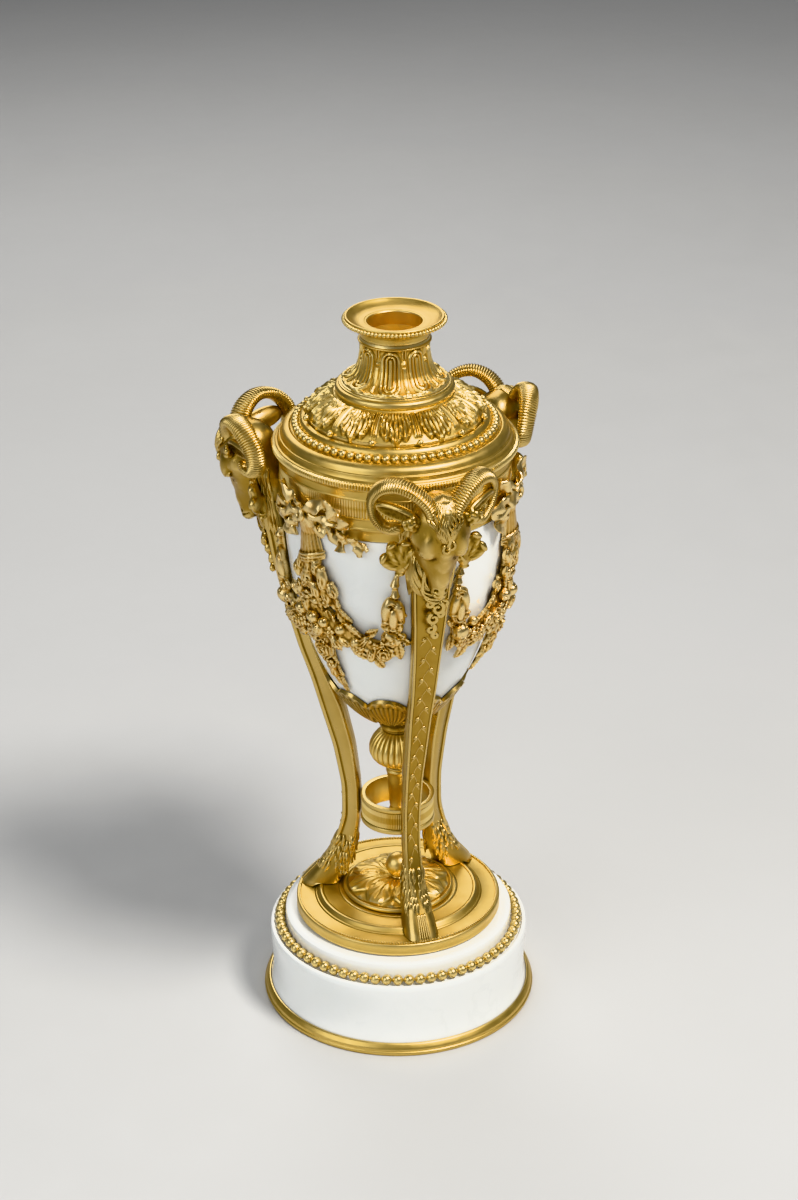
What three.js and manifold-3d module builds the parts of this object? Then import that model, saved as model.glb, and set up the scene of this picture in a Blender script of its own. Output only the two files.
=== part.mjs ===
// A three-legged candle holder: a marble urn and plinth with gilt bronze mounts.
// The origin is the centre of the underside, +Z is up, and one ram leg stands at -Y.
import * as THREE from "three";
import { mergeVertices } from "three/addons/utils/BufferGeometryUtils.js";
import Module from "manifold-3d";

const wasm = await Module();
wasm.setup();

// Driving dimensions in millimetres; heights are above the surface that the holder stands on.
const SIDES = 24;
const GAP = 0.3;
const ARM_COUNT = 3;

const FOOT_RING = { outerRadius: 51.5, height: 4.5 };
const PLINTH = { radius: 48.7, waist: 47.9, shoulder: 28.8, ledge: 27.2, stepRadius: 42.8, top: 35 };
const BEADS = { ringRadius: 44.94, height: 29.5, radius: 1.95, neck: 0.9, count: 68, sides: 3 };
const PLATE = { radius: 38.5, bottom: 35.3, top: 40.3, stepRadius: 30.6, innerRadius: 29.2, innerTop: 42.2 };
const BOSS = { radius: 20.9, bottom: 42.5, leafRadius: 19.4, crown: 47.4, leaves: 8, seat: 46.4 };
const BALL = { radius: 4.7, height: 51.4 };
const LEG_RING = { outerRadius: 13.8, innerRadius: 11.9, bottom: 72.4, top: 83, panelRadius: 13.4 };
const STEM = { tip: 74, tipRadius: 3.2, top: 94.7, topRadius: 4.3 };
const KNOP = { bottom: 95, top: 111, radius: 10.4, neckRadius: 4.8, ribs: 26, ribDepth: 0.45 };
const CUP = { bottom: 111.3, footRadius: 5.9, rim: 133.4, scallop: 2.2, scallops: 10, wall: 1.1, growth: 0.5 };
const URN = { top: 203.8, middle: 206.3, halfHeight: 91.2, radius: 39.8, wall: 6.5, floor: 128 };
const COLLAR = { bottom: 204.1, top: 223.7, bore: 36, coveRadius: 39.8, radius: 41.2, friezeRadius: 40.8 };
const COVER = { rim: 224, rimRadius: 43.3, beadRadius: 35, top: 248, leaves: 12, leafDepth: 0.7, wall: 3 };
const NOZZLE = { bottom: 248.3, footRadius: 19, neckRadius: 11.8, top: 264.6, tongues: 8, relief: 0.45 };
const CANDLE = { boreRadius: 9.5, floor: 252 };
const PAN = { bottom: 264.9, neckRadius: 12, rimRadius: 18, rim: 271.9, floor: 269.9 };

// The leg from the ram's chest to the toe: height, inner radius, outer radius and width.
const LEG = [
  [198, 41.2, 48.5, 14],
  [176, 38.4, 44.3, 11.6],
  [160, 35.2, 40.8, 9.5],
  [142, 30.1, 36, 8.5],
  [117.7, 20.3, 28.4, 7.2],
  [101.5, 16.4, 23.8, 6.3],
  [84.8, 14.4, 20.8, 5.9],
  [71, 14.4, 20.8, 5.8],
  [60, 16, 24, 6.4],
  [53.5, 17.2, 27.5, 8],
  [48, 18.6, 32, 10],
  [43.5, 21.6, 35.6, 11.2],
  [39.5, 22, 37.6, 11.4],
];
const LEG_EDGE = 0.9;

// The ram's head and its neck in level sections: height, back radius, front radius and width.
const HEAD = [
  [192.4, 53, 56.8, 5],
  [195, 51.5, 58.6, 7.6],
  [201, 50, 60.2, 9],
  [207, 49, 62.2, 13],
  [214, 48.4, 65.2, 18],
  [220.5, 48, 65.9, 18],
  [227, 49.5, 63, 14],
  [230.8, 53, 60, 7],
];
const NECK = [
  [190, 40.9, 49, 12.5],
  [200, 41.7, 54, 17],
  [212, 42.1, 58, 19.4],
  [222.6, 43.9, 57.5, 17],
  [229.5, 45.5, 56.5, 10],
];

// One horn and one ear on the +X side: points give sideways offset, radius and height.
const HORN = {
  path: [[4, 60, 226], [9, 59.4, 231.6], [14, 56.6, 233.6], [18.4, 52.6, 231], [20.3, 47.6, 224.6],
    [19, 46.6, 217], [15.6, 51.6, 214.6], [14, 55.6, 218]],
  centre: [12, 53, 224],
  thickness: 4.6,
  width: 7,
  taper: 0.45,
};
const EAR = { path: [[8, 57, 219.4], [13.5, 55.6, 223.2], [19, 53.6, 225.6]], thickness: 1.8, width: 5 };
const BEARD = { path: [[0, 54, 195], [0.6, 51.5, 187], [1.2, 47.6, 178]], thickness: 4.6, width: 8.4 };
const SCROLL = { place: [10.8, 47, 203], half: [4.6, 3.2, 5.4] };

// A garland centred between two legs: angle from its middle in degrees, height, thickness, width.
const SWAG = [
  [3, 172, 6, 9],
  [13, 165, 6.6, 9],
  [23, 160.8, 6.6, 9.4],
  [34, 161.8, 6, 9],
  [41, 168.5, 5.4, 7.6],
  [43.6, 181, 5, 6.4],
  [43.4, 193.5, 2.6, 2.8],
];
const DROP = [
  [-2, 212, 4, 6.4],
  [-1, 198, 4.8, 7.8],
  [0, 188, 6, 12],
  [0, 176, 7, 16],
  [0, 165, 7, 16],
  [0, 153, 6, 10.6],
  [0, 144, 4, 7],
  [0, 138, 2, 2.4],
];
const BOW_LOOP = [[0, 211], [6, 215], [13, 216], [20, 211]];
const BOW_TAIL = [[0, 209], [9, 206], [17, 201], [24, 200]];
const RIBBON = { thickness: 2.6, loopWidth: 7, tailWidth: 5.4 };
const GARLAND_STAND = 0.8;

const GILT = { color: 0xd9a441, roughness: 0.32, metalness: 1 };
const MARBLE = { color: 0xe9ece8, roughness: 0.25, metalness: 0 };

const TURN = 2 * Math.PI;
const holder = new THREE.Group();

function addPiece(name, geometry, finish, turn = 0) {
  const mesh = new THREE.Mesh(geometry, new THREE.MeshStandardMaterial(finish));
  mesh.name = name;
  mesh.rotation.z = turn;
  holder.add(mesh);
}

// A piece turned about the axis. A row is [radius, height], or gives them for an angle measured from -Y.
function turned(rows, sides = SIDES) {
  const at = (row, angle) => (typeof row === "function" ? row(angle) : row);
  const profile = rows.map((row) => new THREE.Vector2(...at(row, 0)));
  const geometry = new THREE.LatheGeometry(profile, sides);
  const position = geometry.attributes.position;
  for (let column = 0; column <= sides; column += 1) {
    const angle = ((column % sides) / sides) * TURN;
    rows.forEach((row, index) => {
      const [radius, height] = at(row, angle);
      const vertex = column * rows.length + index;
      position.setXYZ(vertex, radius * Math.sin(angle), -radius * Math.cos(angle), height);
    });
  }
  return geometry;
}

// A row of a turned piece whose radius and height swell and sink a number of times round.
function lobed(radius, height, count, radiusSwing, heightSwing = 0, phase = 0) {
  return (angle) => {
    const wave = Math.cos(count * (angle - phase));
    return [radius + radiusSwing * wave, height + heightSwing * wave];
  };
}

// A closed skin over a row of rings that have the same number of points.
function loft(rings) {
  const ringSize = rings[0].length;
  const last = rings.length - 1;
  const triangles = [];
  for (let ring = 0; ring < last; ring += 1) {
    for (let side = 0; side < ringSize; side += 1) {
      const a = ring * ringSize + side;
      const b = ring * ringSize + ((side + 1) % ringSize);
      triangles.push(a, b, b + ringSize, a, b + ringSize, a + ringSize);
    }
  }
  for (let side = 1; side < ringSize - 1; side += 1) {
    const end = last * ringSize;
    triangles.push(0, side + 1, side, end, end + side, end + side + 1);
  }
  const points = rings.flat();
  if (signedVolume(points, triangles) < 0) {
    triangles.reverse();
  }
  const geometry = new THREE.BufferGeometry().setFromPoints(points);
  geometry.setIndex(triangles);
  return geometry;
}

function signedVolume(points, triangles) {
  let volume = 0;
  for (let start = 0; start < triangles.length; start += 3) {
    const [a, b, c] = triangles.slice(start, start + 3).map((index) => points[index]);
    volume += a.dot(new THREE.Vector3().crossVectors(b, c)) / 6;
  }
  return volume;
}

// A tapering bar along a path. sizeAt gives thickness and width at 0 to 1, outwardAt the thickness direction.
function swept(path, sizeAt, outwardAt, sides = 5) {
  const rings = path.map((point, index) => {
    const before = path[Math.max(index - 1, 0)];
    const after = path[Math.min(index + 1, path.length - 1)];
    const along = new THREE.Vector3().subVectors(after, before).normalize();
    const outward = outwardAt(point).addScaledVector(along, -outwardAt(point).dot(along)).normalize();
    const across = new THREE.Vector3().crossVectors(along, outward);
    const [thickness, width] = sizeAt(index / (path.length - 1), index);
    return Array.from({ length: sides }, (_, side) => {
      const angle = ((side + 0.5) / sides) * TURN;
      return point
        .clone()
        .addScaledVector(outward, (Math.cos(angle) * thickness) / 2)
        .addScaledVector(across, (Math.sin(angle) * width) / 2);
    });
  });
  return loft(rings);
}

function solidOf(geometry) {
  const bare = geometry.clone();
  bare.deleteAttribute("normal");
  bare.deleteAttribute("uv");
  const merged = mergeVertices(bare);
  const vertProperties = merged.attributes.position.array;
  const triVerts = new Uint32Array(merged.index.array);
  return new wasm.Manifold(new wasm.Mesh({ numProp: 3, vertProperties, triVerts }));
}

function geometryOf(solid) {
  const { vertProperties, triVerts } = solid.getMesh();
  const geometry = new THREE.BufferGeometry();
  geometry.setAttribute("position", new THREE.BufferAttribute(vertProperties, 3));
  geometry.setIndex(new THREE.BufferAttribute(triVerts, 1));
  return geometry;
}

function joined(geometries) {
  return geometries.map(solidOf).reduce((whole, next) => whole.add(next));
}

function urnRadius(height) {
  return URN.radius * Math.sin(Math.acos((URN.middle - height) / URN.halfHeight));
}

// The outside of the urn and, above it, of the collar, which garlands lie against.
function wallRadius(height) {
  const onCollar = THREE.MathUtils.mapLinear(height, URN.top, 213, COLLAR.coveRadius, COLLAR.radius);
  return height < URN.top ? urnRadius(height) : Math.min(onCollar, COLLAR.radius);
}

function footRing() {
  const { outerRadius, height } = FOOT_RING;
  const inner = PLINTH.radius + 0.2 + GAP;
  return turned([
    [inner, 0],
    [outerRadius - 0.9, 0],
    [outerRadius, height / 2],
    [outerRadius - 0.9, height],
    [inner, height],
    [inner, 0],
  ]);
}

function plinth() {
  const { radius, waist, shoulder, ledge, stepRadius, top } = PLINTH;
  const groove = BEADS.ringRadius + BEADS.radius + 0.2;
  return turned([
    [0, 0],
    [radius, 0],
    [radius, FOOT_RING.height],
    [waist, FOOT_RING.height + 6],
    [radius, shoulder - 1.6],
    [groove, shoulder],
    [groove, ledge],
    [stepRadius, ledge],
    [stepRadius, top - 3.4],
    [stepRadius - 1.2, top - 0.9],
    [stepRadius - 3.6, top],
    [0, top],
  ]);
}

function plinthBeads() {
  const { ringRadius, height, radius, neck, count, sides } = BEADS;
  const swing = (radius - neck) / 2;
  const rows = Array.from({ length: sides + 1 }, (_, side) => {
    const round = ((side % sides) / sides) * TURN;
    const out = Math.cos(round);
    const up = Math.sin(round);
    const middle = neck + swing;
    return lobed(ringRadius + middle * out, height + middle * up, count, swing * out, swing * up);
  });
  return turned(rows, count * 2);
}

function basePlate() {
  const { radius, bottom, top, stepRadius, innerRadius, innerTop } = PLATE;
  return turned([
    [0, bottom],
    [radius - 0.5, bottom],
    [radius, bottom + 0.8],
    [radius, top - 0.9],
    [radius - 0.7, top],
    [stepRadius, top],
    [innerRadius, innerTop],
    [0, innerTop],
  ]);
}

function leafBoss() {
  const { radius, bottom, leafRadius, crown, leaves, seat } = BOSS;
  return turned(
    [
      [0, bottom],
      [radius, bottom],
      [radius, bottom + 1.3],
      lobed(leafRadius - 0.4, bottom + 2.6, leaves, 0.5),
      lobed(leafRadius - 7, crown - 0.5, leaves, 0, 0.5),
      [4, seat],
      [0, seat],
    ],
    leaves * 3,
  );
}

function bossBall() {
  const ball = new THREE.SphereGeometry(BALL.radius, 9, 6);
  ball.rotateX(Math.PI / 2);
  ball.translate(0, 0, BALL.height);
  return ball;
}

function legRing() {
  const { outerRadius, innerRadius, bottom, top, panelRadius } = LEG_RING;
  const fillet = 2.2;
  return turned(
    [
      [innerRadius, bottom],
      [outerRadius, bottom],
      [outerRadius, bottom + fillet],
      [panelRadius, bottom + fillet],
      [panelRadius, top - fillet],
      [outerRadius, top - fillet],
      [outerRadius, top],
      [innerRadius, top],
      [innerRadius, bottom],
    ],
    15,
  );
}

function pendantStem() {
  const { tip, tipRadius, top, topRadius } = STEM;
  return turned(
    [
      [0, tip],
      [tipRadius * 0.7, tip],
      [tipRadius, tip + 2],
      [topRadius - 0.2, top - 1.4],
      [topRadius, top],
      [0, top],
    ],
    12,
  );
}

function ribbedKnop() {
  const { bottom, top, radius, neckRadius, ribs, ribDepth } = KNOP;
  const waist = neckRadius - 0.3;
  return turned(
    [
      [0, bottom],
      [waist, bottom],
      lobed(radius * 0.86, bottom + 4, ribs, ribDepth),
      lobed(radius - ribDepth, bottom + 9, ribs, ribDepth),
      [neckRadius, bottom + 14.6],
      [neckRadius, top],
      [0, top],
    ],
    ribs * 2,
  );
}

// A point of the urn's half ellipse, grown outwards; the angle runs from 0 at the foot.
function onUrn(angle, growth = 0) {
  return [(URN.radius + growth) * Math.sin(angle), URN.middle - (URN.halfHeight + growth) * Math.cos(angle)];
}

const urnAngle = (height) => Math.acos((URN.middle - height) / URN.halfHeight);

// The cup lies on the foot of the urn, and its rim rises and falls in scallops.
function shellCup() {
  const { bottom, footRadius, rim, scallop, scallops, wall, growth } = CUP;
  const row = (share, thickness) => (angle) => {
    const edge = urnAngle(rim + scallop * Math.cos(scallops * angle - TURN / 3));
    return onUrn(edge * share, growth + thickness);
  };
  return turned(
    [
      [0, bottom],
      [footRadius, bottom],
      row(0.4, wall),
      row(0.7, wall),
      row(1, wall),
      row(1, 0),
      row(0.75, 0),
      row(0.5, 0),
      row(0.25, 0),
      onUrn(0, growth),
    ],
    scallops * 3,
  );
}

// The urn is a half ellipse outside, hollow inside, and open under the collar.
function marbleUrn() {
  const { top, radius, wall, middle, floor } = URN;
  const steps = 7;
  const outside = Array.from({ length: steps }, (_, step) => onUrn((urnAngle(top) * step) / (steps - 1)));
  const depth = middle - floor;
  const inside = outside.slice(0, -1).map((_, step) => {
    const angle = Math.acos((middle - top) / depth) * (1 - step / (steps - 2));
    return [(radius - wall) * Math.sin(angle), middle - depth * Math.cos(angle)];
  });
  return turned([...outside, ...inside]);
}

function collarBand() {
  const { bottom, top, bore, coveRadius, radius, friezeRadius } = COLLAR;
  return turned([
    [bore, bottom],
    [coveRadius, bottom],
    [radius, bottom + 4],
    [radius, bottom + 8.8],
    [friezeRadius, bottom + 8.8],
    [friezeRadius, bottom + 15],
    [radius, bottom + 15],
    [radius, top],
    [bore, top],
    [bore, bottom],
  ]);
}

// The cover is a shell with a rim, a bead ring and a leaf dome, and a spigot that drops inside the collar.
function cover() {
  const { rim, rimRadius, beadRadius, top, leaves, leafDepth, wall } = COVER;
  const spigot = COLLAR.bore - GAP;
  return turned(
    [
      [0, top - wall],
      [18, top - wall],
      [spigot - 2.4, 228.2],
      [spigot - 2.4, rim - 3.6],
      [spigot, rim - 3.6],
      [spigot, rim],
      [rimRadius, rim],
      [rimRadius, rim + 2.2],
      [rimRadius - 3.3, rim + 6.6],
      [beadRadius + 2.2, rim + 7.6],
      [beadRadius + 0.8, rim + 9.8],
      [beadRadius - 1.2, rim + 9.6],
      [beadRadius - 2.2, rim + 11.2],
      lobed(30.8, rim + 13.2, leaves, leafDepth / 2),
      lobed(26.4, rim + 17, leaves, leafDepth / 2, leafDepth / 2),
      [21.2, rim + 19.8],
      [21, rim + 22.4],
      [19.8, top],
      [0, top],
    ],
    leaves * 2,
  );
}

// The nozzle is a cup of upright tongues with a round candle socket.
function candleNozzle() {
  const { bottom, footRadius, neckRadius, top, tongues, relief } = NOZZLE;
  const halfStep = TURN / (2 * tongues);
  const tongueRow = (radius, height) => lobed(radius, height, tongues, relief, 0, halfStep);
  return turned(
    [
      [0, bottom],
      [footRadius - 0.6, bottom],
      tongueRow(footRadius - relief, bottom + 0.6),
      tongueRow(14.9, bottom + 2.6),
      tongueRow(12.8, bottom + 6.2),
      tongueRow(neckRadius, bottom + 12),
      [neckRadius + 0.4, top],
      [CANDLE.boreRadius, top],
      [CANDLE.boreRadius, CANDLE.floor],
      [0, CANDLE.floor],
    ],
    tongues * 2,
  );
}

function dripPan() {
  const { bottom, neckRadius, rimRadius, rim, floor } = PAN;
  const bore = CANDLE.boreRadius + 0.2;
  return turned([
    [bore, bottom],
    [neckRadius, bottom],
    [neckRadius + 0.9, bottom + 3.2],
    [rimRadius - 0.9, rim - 2.3],
    [rimRadius, rim - 1.4],
    [rimRadius - 0.8, rim],
    [rimRadius - 2.6, floor],
    [bore, floor],
    [bore, bottom],
  ]);
}

// A point beside the -Y leg: sideways offset, radius and height.
function besideLeg([sideways, radius, height], mirror = 1) {
  return new THREE.Vector3(sideways * mirror, -radius, height);
}

function legRings([height, inner, outer, width]) {
  const half = width / 2;
  const corners = [
    [half, inner],
    [half, outer - LEG_EDGE],
    [half - LEG_EDGE, outer],
    [LEG_EDGE - half, outer],
    [-half, outer - LEG_EDGE],
    [-half, inner],
  ];
  return corners.map(([sideways, radius]) => besideLeg([sideways, radius, height]));
}

function levelRings([height, back, front, width], sides) {
  return Array.from({ length: sides }, (_, side) => {
    const angle = ((side + 0.5) / sides) * TURN;
    const radius = (back + front) / 2 + (Math.cos(angle) * (front - back)) / 2;
    return besideLeg([(Math.sin(angle) * width) / 2, radius, height]);
  });
}

function horn(mirror) {
  const centre = besideLeg(HORN.centre, mirror);
  const path = HORN.path.map((point) => besideLeg(point, mirror));
  const sizeAt = (share) => {
    const scale = 1 - HORN.taper * share;
    return [HORN.thickness * scale, HORN.width * scale];
  };
  return swept(path, sizeAt, (point) => new THREE.Vector3().subVectors(point, centre));
}

function ear(mirror) {
  const path = EAR.path.map((point) => besideLeg(point, mirror));
  const sizeAt = (share) => {
    const leaf = Math.max(Math.sin(Math.PI * (0.3 + 0.66 * share)), 0.15);
    return [EAR.thickness * leaf, EAR.width * leaf];
  };
  return swept(path, sizeAt, () => new THREE.Vector3(0, -1, 0), 4);
}

function scroll(mirror) {
  const lump = new THREE.SphereGeometry(1, 5, 3);
  lump.scale(...SCROLL.half);
  const place = besideLeg(SCROLL.place, mirror);
  lump.translate(place.x, place.y, place.z);
  return lump;
}

function beard() {
  const path = BEARD.path.map((point) => besideLeg(point));
  const sizeAt = (share) => {
    const scale = 1 - 0.7 * share;
    return [BEARD.thickness * scale, BEARD.width * scale];
  };
  return swept(path, sizeAt, () => new THREE.Vector3(0, -1, 0));
}

// The hoof stands on the plate and follows its step with a small clearance.
function plateClearance() {
  const { top, stepRadius, innerRadius, innerTop } = PLATE;
  const below = top - 10;
  return turned([
    [0, below],
    [PLATE.radius + 5, below],
    [PLATE.radius + 5, top + GAP],
    [stepRadius + GAP, top + GAP],
    [innerRadius + GAP, innerTop + GAP],
    [0, innerTop + GAP],
  ]);
}

function ramLeg() {
  const casting = joined([
    loft(LEG.map(legRings)),
    loft(NECK.map((row) => levelRings(row, 6))),
    loft(HEAD.map((row) => levelRings(row, 8))),
    beard(),
    ...[1, -1].flatMap((mirror) => [horn(mirror), ear(mirror), scroll(mirror)]),
  ]);
  return geometryOf(casting.subtract(solidOf(plateClearance())));
}

// A point of a garland that stands off the wall behind it; the angle is in degrees from -Y.
function onWall(degrees, height, stand) {
  const angle = THREE.MathUtils.degToRad(degrees);
  const radius = wallRadius(height) + stand;
  return new THREE.Vector3(radius * Math.sin(angle), -radius * Math.cos(angle), height);
}

const awayFromAxis = (point) => new THREE.Vector3(point.x, point.y, 0).normalize();

function garlandBar(rows, mirror = 1) {
  const path = rows.map(([degrees, height, thickness]) => {
    return onWall(degrees * mirror, height, thickness / 2 + GARLAND_STAND);
  });
  const sizeAt = (_, index) => [rows[index][2], rows[index][3]];
  return swept(path, sizeAt, awayFromAxis);
}

function ribbon(points, width, mirror) {
  const path = points.map(([degrees, height]) => {
    return onWall(degrees * mirror, height, RIBBON.thickness / 2 + GARLAND_STAND);
  });
  return swept(path, () => [RIBBON.thickness, width], awayFromAxis, 4);
}

function garland() {
  const sides = [1, -1].flatMap((mirror) => [
    garlandBar(SWAG, mirror),
    ribbon(BOW_LOOP, RIBBON.loopWidth, mirror),
    ribbon(BOW_TAIL, RIBBON.tailWidth, mirror),
  ]);
  return geometryOf(joined([garlandBar(DROP), ...sides]));
}

addPiece("plinth_foot_ring", footRing(), GILT);
addPiece("marble_plinth", plinth(), MARBLE);
addPiece("plinth_bead_ring", plinthBeads(), GILT);
addPiece("base_plate", basePlate(), GILT);
addPiece("leaf_boss", leafBoss(), GILT);
addPiece("boss_ball", bossBall(), GILT);
addPiece("leg_ring", legRing(), GILT);
addPiece("pendant_stem", pendantStem(), GILT);
addPiece("ribbed_knop", ribbedKnop(), GILT);
addPiece("shell_cup", shellCup(), GILT);
addPiece("marble_urn", marbleUrn(), MARBLE);
addPiece("collar_band", collarBand(), GILT);
addPiece("cover", cover(), GILT);
addPiece("candle_nozzle", candleNozzle(), GILT);
addPiece("drip_pan", dripPan(), GILT);
for (let arm = 0; arm < ARM_COUNT; arm += 1) {
  const turn = (arm / ARM_COUNT) * TURN;
  addPiece(`ram_leg_${arm + 1}`, ramLeg(), GILT, turn);
  addPiece(`garland_${arm + 1}`, garland(), GILT, turn + TURN / (2 * ARM_COUNT));
}

export default holder;
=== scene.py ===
import math

import bpy
import numpy as np
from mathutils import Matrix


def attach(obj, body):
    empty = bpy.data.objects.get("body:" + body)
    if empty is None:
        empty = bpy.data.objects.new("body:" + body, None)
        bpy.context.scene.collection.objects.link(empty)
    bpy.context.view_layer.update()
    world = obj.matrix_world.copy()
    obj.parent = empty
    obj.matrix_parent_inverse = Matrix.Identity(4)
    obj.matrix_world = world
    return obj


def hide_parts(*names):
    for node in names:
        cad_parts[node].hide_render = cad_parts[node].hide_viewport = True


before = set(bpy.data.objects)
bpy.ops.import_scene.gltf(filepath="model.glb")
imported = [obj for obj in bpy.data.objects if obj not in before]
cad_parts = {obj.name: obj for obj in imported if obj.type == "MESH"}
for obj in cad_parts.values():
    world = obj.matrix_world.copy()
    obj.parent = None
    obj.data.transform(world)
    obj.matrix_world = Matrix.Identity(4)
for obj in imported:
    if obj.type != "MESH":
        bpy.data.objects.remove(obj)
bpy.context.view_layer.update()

import openvdb
from mathutils import Matrix, Vector

mm = 0.001
fullTurn = 2 * math.pi
scene = bpy.context.scene


# the view of the holder that the photograph shows
cameraSet = {
    "aim": (0, 0, 162.7), "distance": 1000.0, "turn": -15.5, "rise": 26.3967, "roll": -0.356,
    "lens": 83.375, "sensor": 36, "shift": 0.00224, "near": 0.05,
}


def setCamera(c):
    turn, rise, roll = (math.radians(c[k]) for k in ("turn", "rise", "roll"))
    back = Vector((math.sin(turn) * math.cos(rise), -math.cos(turn) * math.cos(rise), math.sin(rise)))
    right = Vector((math.cos(turn), math.sin(turn), 0))
    up = back.cross(right)
    tilted = right * math.cos(roll) + up * math.sin(roll)
    risen = up * math.cos(roll) - right * math.sin(roll)
    data = bpy.data.cameras.new("camera")
    data.sensor_fit = "VERTICAL"
    data.sensor_height = c["sensor"]
    data.lens = c["lens"]
    data.shift_x = c["shift"]
    data.clip_start = c["near"]
    obj = bpy.data.objects.new("camera", data)
    place = Matrix((tilted, risen, back)).transposed().to_4x4()
    place.translation = (Vector(c["aim"]) + back * c["distance"]) * mm
    obj.matrix_world = place
    scene.collection.objects.link(obj)
    scene.camera = obj


setCamera(cameraSet)
print("camera set")


# small tools for making shells: a shell is points in mm, four-cornered faces and three-cornered faces
noFaces = np.zeros((0, 3), np.int64)


def bump(x, width):
    return np.exp(-(x / width) ** 2)


def ease(x, low, high):
    t = np.clip((x - low) / (high - low), 0, 1)
    return t * t * (3 - 2 * t)


def shelf(x, low, high, soft):
    return ease(x, low - soft, low + soft) * (1 - ease(x, high - soft, high + soft))


def outline(corners, closed=True, steps=3):
    # corners are radius, height and how far back an eased corner starts to round
    flat = [np.array(c[:2], float) for c in corners]
    rows = []
    for i, c in enumerate(corners):
        back = c[2] if len(c) > 2 else 0
        if not back or (not closed and i in (0, len(flat) - 1)):
            rows.append(flat[i])
            continue
        before, here, after = flat[i - 1], flat[i], flat[(i + 1) % len(flat)]
        start = here + (before - here) * min(0.49, back / np.linalg.norm(before - here))
        stop = here + (after - here) * min(0.49, back / np.linalg.norm(after - here))
        for t in np.linspace(0, 1, steps):
            rows.append((1 - t) ** 2 * start + 2 * t * (1 - t) * here + t * t * stop)
    return np.array(rows)


def refined(rows, longest):
    # the same rows with no step longer than longest
    rows = np.asarray(rows, float)
    out = [rows[0]]
    for a, b in zip(rows[:-1], rows[1:]):
        parts = max(1, math.ceil(np.linalg.norm(b - a) / longest))
        out += [a + (b - a) * k / parts for k in range(1, parts + 1)]
    return np.array(out)


def lengthAlong(points):
    return np.concatenate([[0], np.cumsum(np.linalg.norm(np.diff(points, axis=0), axis=1))])


def around(radius, angle, height):
    # angles run from -Y towards +X
    return np.stack(np.broadcast_arrays(radius * np.sin(angle), -radius * np.cos(angle), height), -1)


def gridFaces(rows, columns, wrapRows):
    i = np.arange(rows if wrapRows else rows - 1)[:, None]
    j = np.arange(columns)[None, :]
    here, above, right = i * columns, (i + 1) % rows * columns, (j + 1) % columns
    corners = [here + j, here + right, above + right, above + j]
    return np.stack([np.broadcast_to(c, (len(i), columns)) for c in corners], -1).reshape(-1, 4)


def closedTube(rings, first, last):
    # rings of points, with one point in the middle of each end
    count, sides = rings.shape[:2]
    points = np.vstack([rings.reshape(-1, 3), [first, last]])
    j = np.arange(sides)
    step = (j + 1) % sides
    top = (count - 1) * sides
    low = np.column_stack([np.full(sides, count * sides), step, j])
    high = np.column_stack([top + j, top + step, np.full(sides, count * sides + 1)])
    return points, gridFaces(count, sides, False), np.vstack([low, high])


def turned(rows, columns, relief=None, closed=True):
    # a section that climbs on its outside, spun about the axis; relief lifts it along its normal
    rows = np.asarray(rows, float)
    angle = (np.arange(columns) * fullTurn / columns)[None, :]
    r, z = rows[:, :1], rows[:, 1:]
    if relief is not None:
        slope = np.roll(rows, -1, 0) - np.roll(rows, 1, 0) if closed else np.gradient(rows, axis=0)
        slope /= np.maximum(np.linalg.norm(slope, axis=1, keepdims=True), 1e-9)
        lift = relief(angle, r, z)
        r, z = r + slope[:, 1:] * lift, z - slope[:, :1] * lift
    points = around(r, angle, z)
    if closed:
        return points.reshape(-1, 3), gridFaces(len(rows), columns, True), noFaces
    # an open section starts and ends on the axis
    return closedTube(points[1:-1], (0, 0, rows[0, 1]), (0, 0, rows[-1, 1]))


def ballShell(columns, rows):
    rise = np.linspace(-math.pi / 2, math.pi / 2, rows + 1)
    return turned(np.column_stack([np.cos(rise), np.sin(rise)]), columns, closed=False)


def joinShells(shells):
    points, quads, tris, start = [], [], [], 0
    for p, q, t in shells:
        points.append(p)
        quads.append(q + start)
        tris.append(t + start)
        start += len(p)
    return np.vstack(points), np.vstack(quads), np.vstack(tris)


def repeated(shell, places, sizes):
    # the same small shell at many places
    p, q, t = shell
    sizes = np.broadcast_to(np.asarray(sizes, float), (len(places), 3))
    points = (p[None] * sizes[:, None] + np.asarray(places)[:, None]).reshape(-1, 3)
    start = (np.arange(len(places)) * len(p))[:, None, None]
    return points, (q[None] + start).reshape(-1, 4), (t[None] + start).reshape(-1, 3)


def beadRing(count, radius, height, size, columns=12, rows=8):
    angle = np.arange(count) * fullTurn / count
    return repeated(ballShell(columns, rows), around(radius, angle, height), np.full(3, size))


def spun(shell, degrees):
    a = math.radians(degrees)
    p, q, t = shell
    x = p[:, 0] * math.cos(a) - p[:, 1] * math.sin(a)
    y = p[:, 0] * math.sin(a) + p[:, 1] * math.cos(a)
    return np.column_stack([x, y, p[:, 2]]), q, t


# hollows get painted shade and proud edges are rubbed bright, by a value kept on each point
hollowSet = {"rounds": 4, "fineEdge": 0.55}


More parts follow.
